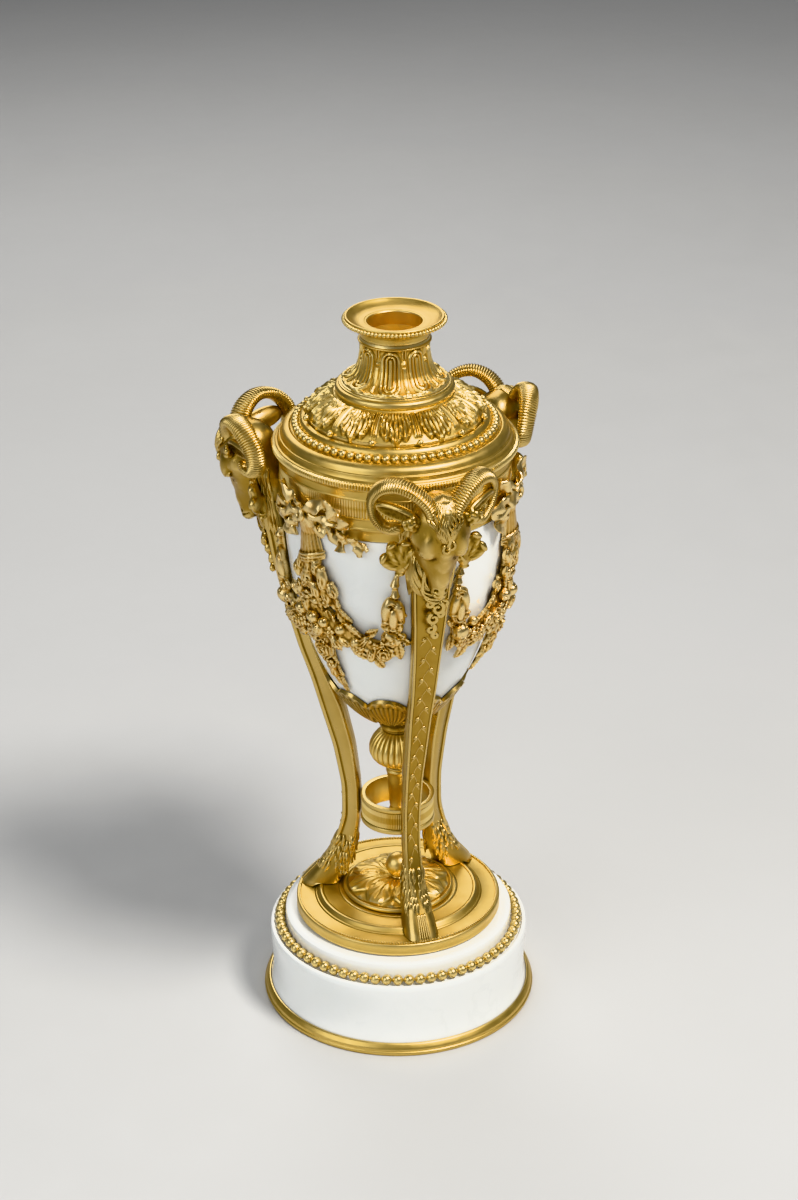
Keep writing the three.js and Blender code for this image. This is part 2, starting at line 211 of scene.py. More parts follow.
def hollowsOf(mesh, d):
    # how far each point lies below its softened neighbourhood, in mm; coarse faces count for less
    count = len(mesh.vertices)
    points, normals = np.empty(count * 3), np.empty(count * 3)
    mesh.vertices.foreach_get("co", points)
    mesh.vertex_normals.foreach_get("vector", normals)
    ends = np.empty(len(mesh.edges) * 2, np.int64)
    mesh.edges.foreach_get("vertices", ends)
    points, normals, (a, b) = points.reshape(-1, 3) / mm, normals.reshape(-1, 3), ends.reshape(-1, 2).T
    links = np.maximum(np.bincount(a, minlength=count) + np.bincount(b, minlength=count), 1)

    def meanOf(atA, atB):
        return (np.bincount(a, atB, count) + np.bincount(b, atA, count)) / links

    soft = points
    for _ in range(d["rounds"]):
        soft = np.column_stack([meanOf(soft[a, k], soft[b, k]) for k in range(3)])
    span = np.linalg.norm(points[a] - points[b], axis=1)
    return np.sum((soft - points) * normals, axis=1) * np.clip(d["fineEdge"] / meanOf(span, span), 0, 1) ** 2


def makePiece(name, nodes, shells, material, crease=38):
    points, quads, tris = joinShells(shells)
    mesh = bpy.data.meshes.new(name)
    mesh.vertices.add(len(points))
    mesh.vertices.foreach_set("co", (points * mm).ravel())
    mesh.loops.add(quads.size + tris.size)
    mesh.loops.foreach_set("vertex_index", np.concatenate([quads.ravel(), tris.ravel()]))
    mesh.polygons.add(len(quads) + len(tris))
    starts = np.concatenate([np.arange(len(quads)) * 4, quads.size + np.arange(len(tris)) * 3])
    mesh.polygons.foreach_set("loop_start", starts)
    mesh.update(calc_edges=True)
    mesh.validate()
    mesh.shade_smooth()
    mesh.set_sharp_from_angle(angle=math.radians(crease))
    # hollow: how deep each point sits, which the gilt uses for painted shade
    hollow = mesh.attributes.new("hollow", "FLOAT", "POINT")
    hollow.data.foreach_set("value", hollowsOf(mesh, hollowSet))
    mesh.materials.append(material)
    obj = bpy.data.objects.new(name, mesh)
    scene.collection.objects.link(obj)
    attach(obj, "root")
    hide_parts(*nodes)
    print("made", name, len(quads) * 2 + len(tris), "triangles")


# a finish is one material: its shader and the steps that mix it
class Finish:
    def __init__(self, name):
        self.material = bpy.data.materials.new(name)
        self.material.use_nodes = True
        self.tree = self.material.node_tree
        self.shader = self.tree.nodes["Principled BSDF"]

    def add(self, kind, links=(), **values):
        node = self.tree.nodes.new(kind)
        for key, value in values.items():
            if hasattr(node, key):
                setattr(node, key, value)
            else:
                node.inputs[key].default_value = value
        for socket, source in links:
            self.tree.links.new(source, node.inputs[socket])
        return node

    def give(self, node, socket, value):
        # a number or colour is set on the socket, an output is linked to it
        if isinstance(value, bpy.types.NodeSocket):
            self.tree.links.new(value, node.inputs[socket])
        else:
            node.inputs[socket].default_value = (*value, 1) if isinstance(value, tuple) else value

    def mapped(self, source, span, to=(0.0, 1.0)):
        node = self.add("ShaderNodeMapRange", [("Value", source)])
        for key, value in zip(("From Min", "From Max", "To Min", "To Max"), (*span, *to)):
            node.inputs[key].default_value = value
        return node.outputs["Result"]

    def mixed(self, factor, first, second):
        node = self.add("ShaderNodeMix", data_type="RGBA")
        for socket, value in ((0, factor), (6, first), (7, second)):
            self.give(node, socket, value)
        return node.outputs[2]

    def maths(self, how, first, second=0.0):
        node = self.add("ShaderNodeMath", operation=how)
        for socket, value in ((0, first), (1, second)):
            self.give(node, socket, value)
        return node.outputs[0]

    def where(self):
        return self.add("ShaderNodeTexCoord").outputs["Object"]

    def noise(self, scale, detail=3.0, rough=0.55, at=None):
        at = self.where() if at is None else at
        node = self.add("ShaderNodeTexNoise", [("Vector", at)], Scale=scale, Detail=detail, Roughness=rough)
        return node.outputs["Fac"]

    def bumped(self, height, strength, depth, under=None):
        links = [("Height", height)]
        if under is not None:
            links.append(("Normal", under))
        return self.add("ShaderNodeBump", links, Strength=strength, Distance=depth * mm).outputs[0]

    def join(self, source, socket):
        self.tree.links.new(source, self.shader.inputs[socket])


# scales are per metre, depths in mm
giltWear = {
    "cloudScale": 120, "dullScale": 260, "fleckScale": 1500, "fleckDepth": 0.06, "swellDepth": 0.3,
    "rubbed": 0.75, "dullHollow": 0.22, "shinyEdge": 0.06,
}


def giltMaterial(name, look, wear=giltWear):
    finish = Finish(name)
    hollow = finish.add("ShaderNodeAttribute", attribute_name="hollow").outputs["Fac"]
    # shut is ambient occlusion, which darkens corners as painted shade
    shut = finish.add("ShaderNodeAmbientOcclusion", samples=6, Distance=look["reach"] * mm).outputs["AO"]
    pits = finish.mapped(hollow, (0.01, look["hollow"]))
    corners = finish.mapped(shut, (0.55, 0.08), (0.0, look["shut"]))
    depth = finish.maths("MAXIMUM", pits, corners)
    proud = finish.mapped(hollow, (-0.015, -look["hollow"]))
    cloud = finish.noise(wear["cloudScale"], 4)
    base = finish.mixed(finish.mapped(cloud, (0.35, 0.68)), look["gold"], look["warm"])
    rubbed = finish.mixed(finish.maths("MULTIPLY", proud, wear["rubbed"]), base, look["bright"])
    # painted shade: hollows and shut corners are mixed towards the dark colour, a little varied by the cloud
    # noise
    paintedShade = finish.maths("MULTIPLY", depth, finish.mapped(cloud, (0.25, 0.7), (0.72, 1.0)))
    finish.join(finish.mixed(paintedShade, rubbed, look["dark"]), "Base Color")
    finish.shader.inputs["Metallic"].default_value = 1.0
    dull = finish.mapped(finish.noise(wear["dullScale"], 5), (0.3, 0.7), look["rough"])
    dull = finish.maths("ADD", dull, finish.maths("MULTIPLY", depth, wear["dullHollow"]))
    shiny = finish.maths("MULTIPLY", proud, wear["shinyEdge"])
    finish.join(finish.maths("SUBTRACT", dull, shiny), "Roughness")
    grain = finish.bumped(finish.noise(wear["fleckScale"], 2), look["grain"], wear["fleckDepth"])
    swell = finish.noise(look["swellScale"], 3)
    finish.join(finish.bumped(swell, look["swell"], wear["swellDepth"], grain), "Normal")
    return finish.material


def marbleMaterial(name, look):
    finish = Finish(name)
    where = finish.where()
    swirl = finish.add("ShaderNodeTexNoise", [("Vector", where)], Scale=look["swirlScale"], Detail=4.0)
    bend = finish.add("ShaderNodeMix", [(4, where), (5, swirl.outputs["Color"])], data_type="VECTOR")
    bend.inputs[0].default_value = look["bend"]
    vein = finish.noise(look["veinScale"], 6.0, 0.6, bend.outputs[1])
    line = finish.maths("ABSOLUTE", finish.maths("SUBTRACT", vein, 0.5))
    thread = finish.mapped(line, (0.0, look["veinWidth"]), (1.0, 0.0))
    breaks = finish.mapped(finish.noise(look["breakScale"], 2), (0.45, 0.65))
    thread = finish.maths("MULTIPLY", thread, breaks)
    cloud = finish.mapped(finish.noise(look["cloudScale"], 5), (0.3, 0.7))
    body = finish.mixed(cloud, look["white"], look["shade"])
    veined = finish.mixed(finish.maths("MULTIPLY", thread, look["veins"]), body, look["vein"])
    finish.join(veined, "Base Color")
    finish.join(finish.mapped(finish.noise(look["polishScale"], 4), (0.3, 0.7), look["rough"]), "Roughness")
    for socket, value in look["shader"].items():
        finish.shader.inputs[socket].default_value = value
    crystals = finish.noise(look["crystalScale"], 3)
    finish.join(finish.bumped(crystals, look["crystal"], look["crystalDepth"]), "Normal")
    return finish.material


# each gilt's dark, shut, hollow and reach set its painted shade in hollows and corners
satinGilt = giltMaterial("satin_gilt", {
    "gold": (0.71, 0.505, 0.165), "warm": (0.65, 0.445, 0.13), "bright": (0.90, 0.71, 0.32),
    "dark": (0.15, 0.083, 0.018), "rough": (0.34, 0.44), "reach": 2.5, "shut": 0.55, "hollow": 0.17,
    "grain": 0.25, "swell": 0.03, "swellScale": 300,
})
# a darker copy of the gilt: its gold, warm and bright are darkened as painted shade for the rams' faces and
# legs, and the cup shares it
shadedCastGilt = giltMaterial("shaded_cast_gilt", {
    "gold": (0.465, 0.303, 0.08), "warm": (0.395, 0.245, 0.058), "bright": (0.78, 0.58, 0.235),
    "dark": (0.10, 0.052, 0.009), "rough": (0.30, 0.42), "reach": 3.0, "shut": 0.9, "hollow": 0.11,
    "grain": 0.12, "swell": 0.05, "swellScale": 700,
})
garlandGilt = giltMaterial("garland_gilt", {
    "gold": (0.72, 0.468, 0.15), "warm": (0.62, 0.362, 0.118), "bright": (0.95, 0.755, 0.38),
    "dark": (0.12, 0.055, 0.013), "rough": (0.29, 0.42), "reach": 3.0, "shut": 0.9, "hollow": 0.11,
    "grain": 0.15, "swell": 0.10, "swellScale": 700,
})
# a brighter copy of the gilt for the rosette, ball, knop and nozzle: its gold, warm and bright are lightened
# as painted light
litBurnishedGilt = giltMaterial("lit_burnished_gilt", {
    "gold": (0.88, 0.635, 0.215), "warm": (0.83, 0.57, 0.17), "bright": (0.97, 0.79, 0.38),
    "dark": (0.24, 0.13, 0.025), "rough": (0.36, 0.44), "reach": 2.5, "shut": 0.5, "hollow": 0.20,
    "grain": 0.10, "swell": 0.03, "swellScale": 220,
})
whiteMarble = marbleMaterial("white_marble", {
    "white": (0.92, 0.93, 0.905), "shade": (0.87, 0.885, 0.86), "vein": (0.66, 0.68, 0.66), "veins": 0.3,
    "veinScale": 30.0, "veinWidth": 0.028, "swirlScale": 22.0, "bend": 0.06, "breakScale": 14,
    "cloudScale": 34, "rough": (0.12, 0.22), "polishScale": 420,
    "crystal": 0.03, "crystalScale": 900, "crystalDepth": 0.1,
    "shader": {"Subsurface Weight": 0.12, "Subsurface Radius": (1.0, 0.95, 0.85), "Subsurface Scale": 0.003,
               "Coat Weight": 0.25, "Coat Roughness": 0.08},
})
print("materials mixed")


# plinth: gilt foot ring, marble drum with its raised step, ring of beads
footRing = {"inner": 49.2, "outer": 51.5, "height": 4.5, "columns": 160}


def makeFootRing(d):
    inner, outer, high = d["inner"], d["outer"], d["height"]
    rows = outline([
        (inner, 0), (outer - 0.3, 0, 0.3), (outer, 0.6, 0.3), (outer, 1.5, 0.3), (outer - 0.45, 1.75, 0.2),
        (outer - 0.35, 2.6, 0.5), (outer - 1.1, 3.7, 0.6), (inner + 0.5, high, 0.4), (inner, high),
    ])
    makePiece("foot_ring", ["plinth_foot_ring"], [turned(rows, d["columns"])], satinGilt)


plinthDrum = {
    "radius": 48.7, "waist": 47.9, "flare": 48.95, "groove": 47.1, "ledge": 27.2, "step": 42.8, "top": 35,
    "columns": 160,
}


def makePlinthDrum(d):
    radius, waist, groove = d["radius"], d["waist"], d["groove"]
    ledge, step, top = d["ledge"], d["step"], d["top"]
    rows = outline([
        (0, 0), (radius, 0, 0.2), (d["flare"], 4.4, 0.5), (waist + 0.1, 8.4, 3.0), (waist, 15, 3.0),
        (radius - 0.1, 24.2, 3.0), (radius, 28.3, 2.9), (groove, 28.4, 0.3), (groove, ledge, 0.2),
        (step, ledge, 0.3), (step, 31.5, 0.6), (step, top, 3.0), (38, top, 0.5), (0, top),
    ], closed=False, steps=4)
    drum = turned(rows, d["columns"], closed=False)
    makePiece("plinth_drum", ["marble_plinth"], [drum], whiteMarble)


plinthBeads = {"count": 68, "ring": 44.94, "height": 29.5, "size": 1.95, "wire": 0.55, "wireColumns": 136}


def makePlinthBeads(d):
    turn = np.linspace(0, fullTurn, 6, endpoint=False)
    section = np.column_stack([d["ring"] + d["wire"] * np.cos(turn), d["height"] + d["wire"] * np.sin(turn)])
    beads = beadRing(d["count"], d["ring"], d["height"], d["size"], 14, 9)
    makePiece("plinth_beads", ["plinth_bead_ring"], [turned(section, d["wireColumns"]), beads], satinGilt)


makeFootRing(footRing)
makePlinthDrum(plinthDrum)
makePlinthBeads(plinthBeads)
print("plinth done")


# base plate with its beaded edge and raised inner ring
basePlate = {
    "bottom": 35.3, "radius": 38.5, "top": 40.3, "step": 30.6, "inner": 29.2, "crest": 42.2, "columns": 176,
    "beads": 232, "beadSize": 0.46,
}


def makeBasePlate(d):
    low, edge, top, step, inner, crest = (d[k] for k in ("bottom", "radius", "top", "step", "inner", "crest"))
    rows = outline([
        (0, low), (edge - 0.6, low, 0.3), (edge, low + 0.7, 0.4), (edge - 0.25, 37.6, 0.8),
        (edge, 39.3, 0.5), (edge - 0.35, top - 0.15, 0.3), (edge - 2.5, top - 0.15, 0.1),
        (step + 0.9, top - 0.1, 0.2), (step + 0.6, top + 0.35, 0.2), (step + 0.1, top + 0.4, 0.2),
        (inner + 0.35, crest, 0.5), (inner - 0.5, crest, 0.3), (inner - 0.9, crest - 0.25, 0.2),
        (22.4, crest - 0.25, 0.2), (21.9, crest, 0.2), (0, crest),
    ], closed=False)
    beads = beadRing(d["beads"], edge - 1.3, top + 0.1, d["beadSize"], 6, 4)
    plate = turned(rows, d["columns"], closed=False)
    makePiece("base_plate_gilt", ["base_plate"], [plate, beads], satinGilt)


# rosette of broad leaves under the ball
leafBoss = {
    "bottom": 42.5, "radius": 20.9, "leaves": 8, "rim": 19.0, "hub": 3.6, "spring": 44.0, "crown": 47.2,
    "seat": 46.4,
    "swell": 0.62, "columns": 42, "edgeColumns": 128,
}


def makeLeafBoss(d):
    low, edge, rim, hub, crown, seat = (d[k] for k in ("bottom", "radius", "rim", "hub", "crown", "seat"))
    moulding = outline([
        (0.01, low), (edge - 0.5, low, 0.3), (edge, 43.2, 0.7), (edge - 0.5, 44.1, 0.6),
        (edge - 1.3, 44.1, 0.3), (edge - 1.5, 43.6, 0.1), (17, 43.6), (0.01, 43.6),
    ])
    s = np.linspace(0, 1, 46)
    radius = rim * (1 - s) + hub * s
    height = d["spring"] + (crown - d["spring"]) * np.sin(np.clip(s / d["swell"], 0, 1) * math.pi / 2)
    height -= (crown - seat) * ease(s, d["swell"], 1)
    rows = np.vstack([[[0, 43.4], [rim - 0.6, 43.4]], np.column_stack([radius, height]), [[0, seat]]])

    def leafRelief(angle, r, z):
        a = np.abs((angle * d["leaves"] / fullTurn + 0.5) % 1 - 0.5)      # from the middle of a leaf
        s = np.clip((rim - r) / (rim - hub), 0, 1)                        # 0 at the rim, 1 at the ball
        lobes = 1 + 0.10 * np.cos(fullTurn * (s * 3.2 + 0.15))
        rounded = np.sqrt(np.clip(1 - (1 - np.clip(s / 0.42, 0, 1)) ** 2, 0, 1))
        half = 0.485 * rounded * np.where(s < 0.7, lobes, 1)
        within = np.clip(a / np.maximum(half, 0.02), 0, 1)
        body = 0.95 * np.sqrt(np.clip(1 - within ** 2, 0, 1)) * (1 - 0.45 * s)
        furrow = -0.34 * bump(a, 0.028) * ease(s, 0.04, 0.2)
        folds = 0.16 * np.cos(fullTurn * (within * 1.7 + s * 2.4))
        folds = folds * ease(within, 0.12, 0.4) * (1 - ease(within, 0.85, 1))
        curl = 0.35 * bump(s - 0.12, 0.09) * (1 - within ** 2)
        leaf = ease(half - a, -0.005, 0.03) * (body + furrow + folds + curl)
        bud = 0.5 * bump(a - 0.5, 0.09) * bump(s - 0.05, 0.07)
        return np.where(z > 43.8, leaf + bud - 0.25, 0)

    leaves = turned(rows, d["leaves"] * d["columns"], leafRelief, closed=False)
    makePiece("leaf_rosette", ["leaf_boss"], [turned(moulding, d["edgeColumns"]), leaves], litBurnishedGilt)


bossBall = {"radius": 4.75, "height": 51.6, "neck": 2.6, "seat": 46.75, "columns": 64}


def makeBossBall(d):
    low, neck = d["seat"], d["neck"]
    turn = np.linspace(-0.92, math.pi / 2, 26)
    ball = np.column_stack([d["radius"] * np.cos(turn), d["height"] + d["radius"] * np.sin(turn)])
    ball[-1, 0] = 0
    foot = [(0, low), (neck + 0.2, low), (neck + 0.45, low + 0.25), (neck + 0.1, low + 0.55)]
    whole = turned(np.vstack([foot, ball]), d["columns"], closed=False)
    makePiece("polished_ball", ["boss_ball"], [whole], litBurnishedGilt)


makeBasePlate(basePlate)
makeLeafBoss(leafBoss)
makeBossBall(bossBall)
print("base plate and rosette done")


def bandBetween(radius, low, high, sunk, longest):
    # section of a flat band, closed a little way behind its face
    face = refined([(radius, low), (radius, high)], longest)
    return np.vstack([[[radius - sunk, low]], face, [[radius - sunk, high]]])


# ring that ties the three legs, with a finely lined band
legRing = {
    "inner": 11.9, "outer": 13.8, "panel": 13.35, "bottom": 72.4, "top": 83.0, "columns": 96, "lines": 132,
    "depth": 0.12,
}


def makeLegRing(d):
    low, high, inner, edge, panel = (d[k] for k in ("bottom", "top", "inner", "outer", "panel"))
    rows = outline([
        (inner, low, 0.2), (edge - 0.1, low, 0.2), (edge, low + 0.9, 0.3), (edge - 0.15, low + 1.7, 0.2),
        (panel, low + 1.9, 0.1), (panel - 0.3, low + 2.2), (panel - 0.3, high - 2.2),
        (panel, high - 1.9, 0.1),
        (edge - 0.15, high - 1.7, 0.2), (edge, high - 0.9, 0.3), (edge - 0.1, high, 0.2),
        (inner, high, 0.2),
    ])

    def lined(angle, r, z):
        return np.where(r > panel - 0.2, d["depth"] * np.cos(angle * d["lines"]), 0)

    band = turned(bandBetween(panel, low + 2.1, high - 2.1, 0.5, 2.4), d["lines"] * 4, lined)
    makePiece("leg_tie_ring", ["leg_ring"], [turned(rows, d["columns"]), band], satinGilt)


pendantStem = {"tip": 74.0, "tipRadius": 3.2, "top": 94.7, "topRadius": 4.3, "columns": 56}


def makePendantStem(d):
    tip, top, wide = d["tip"], d["top"], d["topRadius"]
    rows = outline([
        (0, tip), (1.5, tip + 0.1, 0.6), (2.9, tip + 1.2, 0.7), (d["tipRadius"], tip + 2.4, 0.6),
        (2.75, tip + 3.5, 0.4), (3.0, tip + 4.2, 0.3), (3.75, 90.6, 1.0), (4.05, 92.2, 0.3),
        (4.25, 92.6, 0.2),
        (4.3, 93.4, 0.2), (4.05, 93.8, 0.2), (wide, 94.3, 0.2), (wide, top, 0.1), (0, top),
    ], closed=False)
    stem = turned(refined(rows, 3), d["columns"], closed=False)
    makePiece("stem_under_knop", ["pendant_stem"], [stem], satinGilt)


ribbedKnop = {"bottom": 95.0, "top": 111.0, "radius": 10.4, "neck": 4.8, "ribs": 26, "depth": 0.62}


def makeRibbedKnop(d):
    low, neck = d["bottom"], d["neck"]
    s = np.linspace(0, 1, 34)
    height = low + 0.9 + 14.4 * s
    radius = neck - 0.3 + (d["radius"] - neck + 0.3) * np.sin(math.pi * np.clip(s, 0, 1) ** 0.86) ** 0.62
    rows = np.vstack([
        [[0, low], [neck - 0.5, low], [neck - 0.3, low + 0.4]],
        np.column_stack([radius, height]),
        outline([(neck - 0.1, 110.4), (5.3, 110.5, 0.1), (5.4, 110.75, 0.1), (5.0, 110.9)], closed=False),
        [[0, d["top"]]],
    ])

    def ribs(angle, r, z):
        wave = np.abs(np.cos(angle * d["ribs"] / 2)) ** 0.7
        full = np.clip((r - neck) / (d["radius"] - neck), 0, 1) ** 0.6
        return np.where((z > low + 0.8) & (z < 110.3), d["depth"] * full * (wave - 0.9), 0)

    knop = turned(rows, d["ribs"] * 10, ribs, closed=False)
    makePiece("ribbed_knop_gilt", ["ribbed_knop"], [knop], litBurnishedGilt)


# scalloped cup of ten fans that holds the urn
shellCup = {
    "bottom": 111.3, "foot": 5.9, "rim": 133.4, "swing": 2.2, "fans": 10, "wall": 1.1, "gap": 0.5,
    "phase": 11.0,
    "columns": 46, "rays": 9,
}
urnShape = {
    "middle": 206.3, "half": 91.2, "radius": 39.8, "wall": 6.5, "floor": 128.0, "top": 203.8,
    "columns": 144,
}


def onUrn(angle, grown=0.0):
    radius, half = urnShape["radius"] + grown, urnShape["half"] + grown
    return radius * np.sin(angle), urnShape["middle"] - half * np.cos(angle)


def urnAngle(height):
    return np.arccos(np.clip((urnShape["middle"] - height) / urnShape["half"], -1, 1))


def makeShellCup(d):
    count = d["fans"] * d["columns"]
    angle = np.arange(count) * fullTurn / count
    a = ((angle - math.radians(d["phase"])) * d["fans"] / fullTurn + 0.5) % 1 - 0.5
    far = np.abs(a)
    edge = urnAngle(d["rim"] - d["swing"] + 2 * d["swing"] * (1 - (2 * far) ** 2.4))
    low = d["bottom"]
    foot = outline([(4.6, low), (d["foot"] - 0.1, low, 0.2), (6.5, 112.0, 0.5), (6.7, 113.4)], closed=False)
    rings = [around(np.full(count, r), angle, np.full(count, z)) for r, z in foot]
    # up the outside; share is the way from the foot to the scalloped edge
    for share in np.concatenate([[0.27], np.linspace(0.30, 0.91, 27), np.linspace(0.92, 1, 7)]):
        spread = 0.13 + 0.39 * ease(share, 0.30, 0.88)      # half width of a fan
        fan = ease(spread - far, -0.01, 0.02) * ease(share, 0.34, 0.46)
        rays = 0.30 + 0.36 * np.abs(np.cos(math.pi * d["rays"] / 2 * a / spread))
        rays = rays * (1 - ease(share, 0.925, 0.945))
        knots = 0.55 * bump(far - 0.5, 0.06) * bump(share - 0.66, 0.03)
        knots = knots + 0.5 * bump(far - 0.5, 0.08) * bump(share - 0.52, 0.03)
        border = (0.66 + 0.16 * np.cos(fullTurn * 5 * a)) * ease(share, 0.925, 0.95)
        r, z = onUrn(edge * share, d["gap"] + d["wall"] - 0.45 + fan * rays + knots + border)
        rings.append(around(r, angle, z))
    # down the inside, close to the urn
    for share in (1.0, 0.9, 0.7, 0.4, 0.1):
        r, z = onUrn(edge * share, d["gap"])
        rings.append(around(r, angle, z))
    cup = closedTube(np.array(rings), (0, 0, low), (0, 0, onUrn(0.0, d["gap"])[1]))
    makePiece("fan_cup", ["shell_cup"], [cup], shadedCastGilt)


def makeUrn(d):
    up = np.linspace(0.0, urnAngle(d["top"]), 44)
    outer = np.column_stack(onUrn(up))
    depth = d["middle"] - d["floor"]
    down = np.linspace(math.acos((d["middle"] - d["top"]) / depth), 0, 16)
    inner = np.column_stack([(d["radius"] - d["wall"]) * np.sin(down), d["middle"] - depth * np.cos(down)])
    urn = turned(np.vstack([outer, inner]), d["columns"], closed=False)
    makePiece("urn_body", ["marble_urn"], [urn], whiteMarble)


makeLegRing(legRing)
makePendantStem(pendantStem)
makeRibbedKnop(ribbedKnop)
makeShellCup(shellCup)
makeUrn(urnShape)
print("stem, cup and urn done")


# collar with its fluted frieze
collarBand = {
    "bore": 36.0, "bottom": 204.1, "top": 223.7, "cove": 39.8, "radius": 41.2, "columns": 144,
    "frieze": 40.75, "friezeLow": 213.0, "friezeHigh": 219.2, "flutes": 250, "depth": 0.4,
}


def makeCollar(d):
    bore, low, top, cove, edge, frieze = (d[k] for k in ("bore", "bottom", "top", "cove", "radius", "frieze"))
    friezeLow, friezeHigh = d["friezeLow"], d["friezeHigh"]
    rows = outline([
        (bore, low), (cove, low, 0.2), (cove + 0.05, 205.0, 0.4), (40.1, 207.2, 1.2),
        (40.9, 208.3, 0.4), (edge, 208.5, 0.2), (edge, 209.4, 0.3), (edge - 0.25, 209.6, 0.1),
        (edge - 0.3, 212.2, 0.1),
        (edge, 212.4, 0.2), (edge, 212.9, 0.2), (frieze - 0.3, friezeLow, 0.1),
        (frieze - 0.3, friezeHigh, 0.1),
        (edge, 219.3, 0.2), (edge, 220.0, 0.2), (edge - 0.25, 220.2, 0.1), (edge - 0.2, 222.6, 0.3),
        (edge + 0.2, 223.3, 0.3), (edge + 0.2, top, 0.1), (bore, top),
    ])

    def flutes(angle, r, z):
        return np.where(r > frieze - 0.3, d["depth"] * (np.abs(np.sin(angle * d["flutes"] / 2)) - 0.6), 0)

    band = turned(bandBetween(frieze, friezeLow, friezeHigh, 0.6, 3.2), d["flutes"] * 5, flutes)
    makePiece("collar_gilt", ["collar_band"], [turned(rows, d["columns"]), band], satinGilt)


# lift-off cover: milled rim, swept band, beads, leaf dome and ring
coverShape = {
    "rim": 224.0, "columns": 144, "flutes": 260, "milling": 0.6, "beads": 70, "beadRing": 35.0,
    "beadHeight": 233.0,
    "beadSize": 1.5, "leaves": 12, "leafLow": (31.3, 236.6), "leafHigh": (20.9, 244.0), "leafColumns": 44,
    "tipRing": 31.9, "tipHeight": 237.3, "tipSize": 1.15,
}


def coverRows(rim):
    skin = outline([
        (42.0, rim), (42.2, rim + 0.1, 0.05), (42.2, rim + 2.5, 0.05), (41.9, rim + 2.75, 0.1),
        (41.1, rim + 3.0, 0.4),
        (40.75, rim + 4.4, 0.2), (40.7, rim + 4.95, 0.15), (40.2, rim + 5.1, 0.1), (39.7, rim + 7.2, 1.4),
        (37.9, rim + 7.95, 0.3), (37.6, rim + 8.0, 0.2), (37.2, rim + 8.0, 0.2), (36.9, rim + 7.6, 0.2),
        (36.4, rim + 7.5, 0.3), (33.9, rim + 8.8, 0.3), (33.7, rim + 9.8, 0.3), (33.2, rim + 11.0, 0.7),
        (32.2, rim + 11.6, 0.6), (31.4, rim + 11.7, 0.2), (31.0, rim + 11.4),
    ], closed=False)
    neck = outline([
        (21.6, 243.2), (21.3, 243.9, 0.3), (20.6, 244.3, 0.3), (20.5, 244.6, 0.2), (20.95, 245.2, 0.4),
        (20.95, 246.6, 0.6), (20.2, 247.3, 0.4), (19.6, 247.4, 0.2), (19.5, 248.0, 0.1), (9.7, 248.0),
    ], closed=False)
    under = [(9.7, 244.6), (18.0, 244.4), (20.0, 241.4), (30.0, 234.2), (32.6, 231.2), (32.7, 220.4),
             (35.7, 220.4), (35.7, rim)]
    return np.vstack([skin, neck, under])


def makeCover(d):
    rim = d["rim"]
    lowEdge, highEdge = np.array(d["leafLow"]), np.array(d["leafHigh"])
    s = np.linspace(0, 1, 42)[:, None]
    bow = np.array([0.62, 0.79]) * 1.5 * np.sin(math.pi * s) * (1 - 0.4 * s)
    dome = lowEdge + (highEdge - lowEdge) * s + bow
    dome = np.vstack([lowEdge - (0.3, 1.4), dome, highEdge - (0.8, 1.0), (20.3, 241.0), (30.0, 234.6)])
    # ragged lower edge of a leaf, from its middle outwards
    ragged = ([0, 0.06, 0.12, 0.17, 0.22, 0.28, 0.34, 0.40], [-0.02, 0.01, 0.13, 0.07, 0.06, 0.11, 0.24, 0.7])

    def leaves(angle, r, z):
        far = np.abs((angle * d["leaves"] / fullTurn) % 1 - 0.5)      # 0 in a leaf's middle, 0.5 over a ball
        s = np.clip((lowEdge[0] - r) / (lowEdge[0] - highEdge[0]), 0, 1)
        onTop = ease(z - (235.2 + 8.2 * s), -0.2, 0.6)
        low = np.interp(far, *ragged)
        inside = ease(s - low, -0.02, 0.05) * ease(0.395 - far, -0.01, 0.02)
        curls = 0.5 + 0.5 * np.cos(fullTurn * (s * 2.3 - far * 2.0))
        flutes = 0.50 * np.cos(fullTurn * (far + 0.012 * np.sin(s * 9)) / (0.115 - 0.02 * s))
        flutes = flutes * (0.45 + 0.55 * curls) * (1 - ease(s, 0.92, 1))
        rolled = 0.5 * bump(s - low - 0.08, 0.07) + 0.4 * bump(s - 0.84, 0.10) + 0.25 * curls
        middle = 0.22 * bump(far, 0.05)
        stalks = (0.95 * bump(far - 0.447, 0.026) + 0.8 * bump(far - 0.5, 0.018)) * ease(s, 0.10, 0.2)
        relief = inside * (0.40 + flutes + rolled + middle) + stalks - 0.35
        return onTop * relief * (1 - 0.7 * ease(s, 0.95, 1.0))

    torus = [(42.2, rim + 0.1), (42.9, rim + 0.2), (43.2, rim + 0.6), (43.4, rim + 1.3), (43.2, rim + 2.0),
             (42.9, rim + 2.4), (42.2, rim + 2.5)]

    def milling(angle, r, z):
        return np.where(r > 42.8, d["milling"] * (np.abs(np.sin(angle * d["flutes"] / 2)) - 0.8), 0)

    shells = [
        turned(coverRows(rim), d["columns"]),
        turned(torus, d["flutes"] * 5, milling),
        turned(dome, d["leaves"] * d["leafColumns"], leaves),
        beadRing(d["beads"], d["beadRing"], d["beadHeight"], d["beadSize"]),
        beadRing(d["leaves"], d["tipRing"], d["tipHeight"], d["tipSize"]),
    ]
    makePiece("leaf_cover", ["cover"], shells, satinGilt)


makeCollar(collarBand)
makeCover(coverShape)
print("collar and cover done")


# candle nozzle with nested oval tongues, and its drip pan
nozzleShape = {
    "bottom": 248.1, "bore": 9.5, "floor": 252.0, "tongues": 8, "columns": 46, "phase": 22.5,
    "side": [(18.9, 248.1), (18.9, 248.7), (18.2, 249.15), (16.4, 249.8), (14.6, 251.0), (13.3, 252.8),
             (12.4, 255.4), (11.9, 258.2), (11.7, 260.6), (11.8, 262.2), (12.1, 262.9)],
    "dartTop": 256.8, "beadHeight": 258.0, "flareSpan": (259.0, 260.0),
}


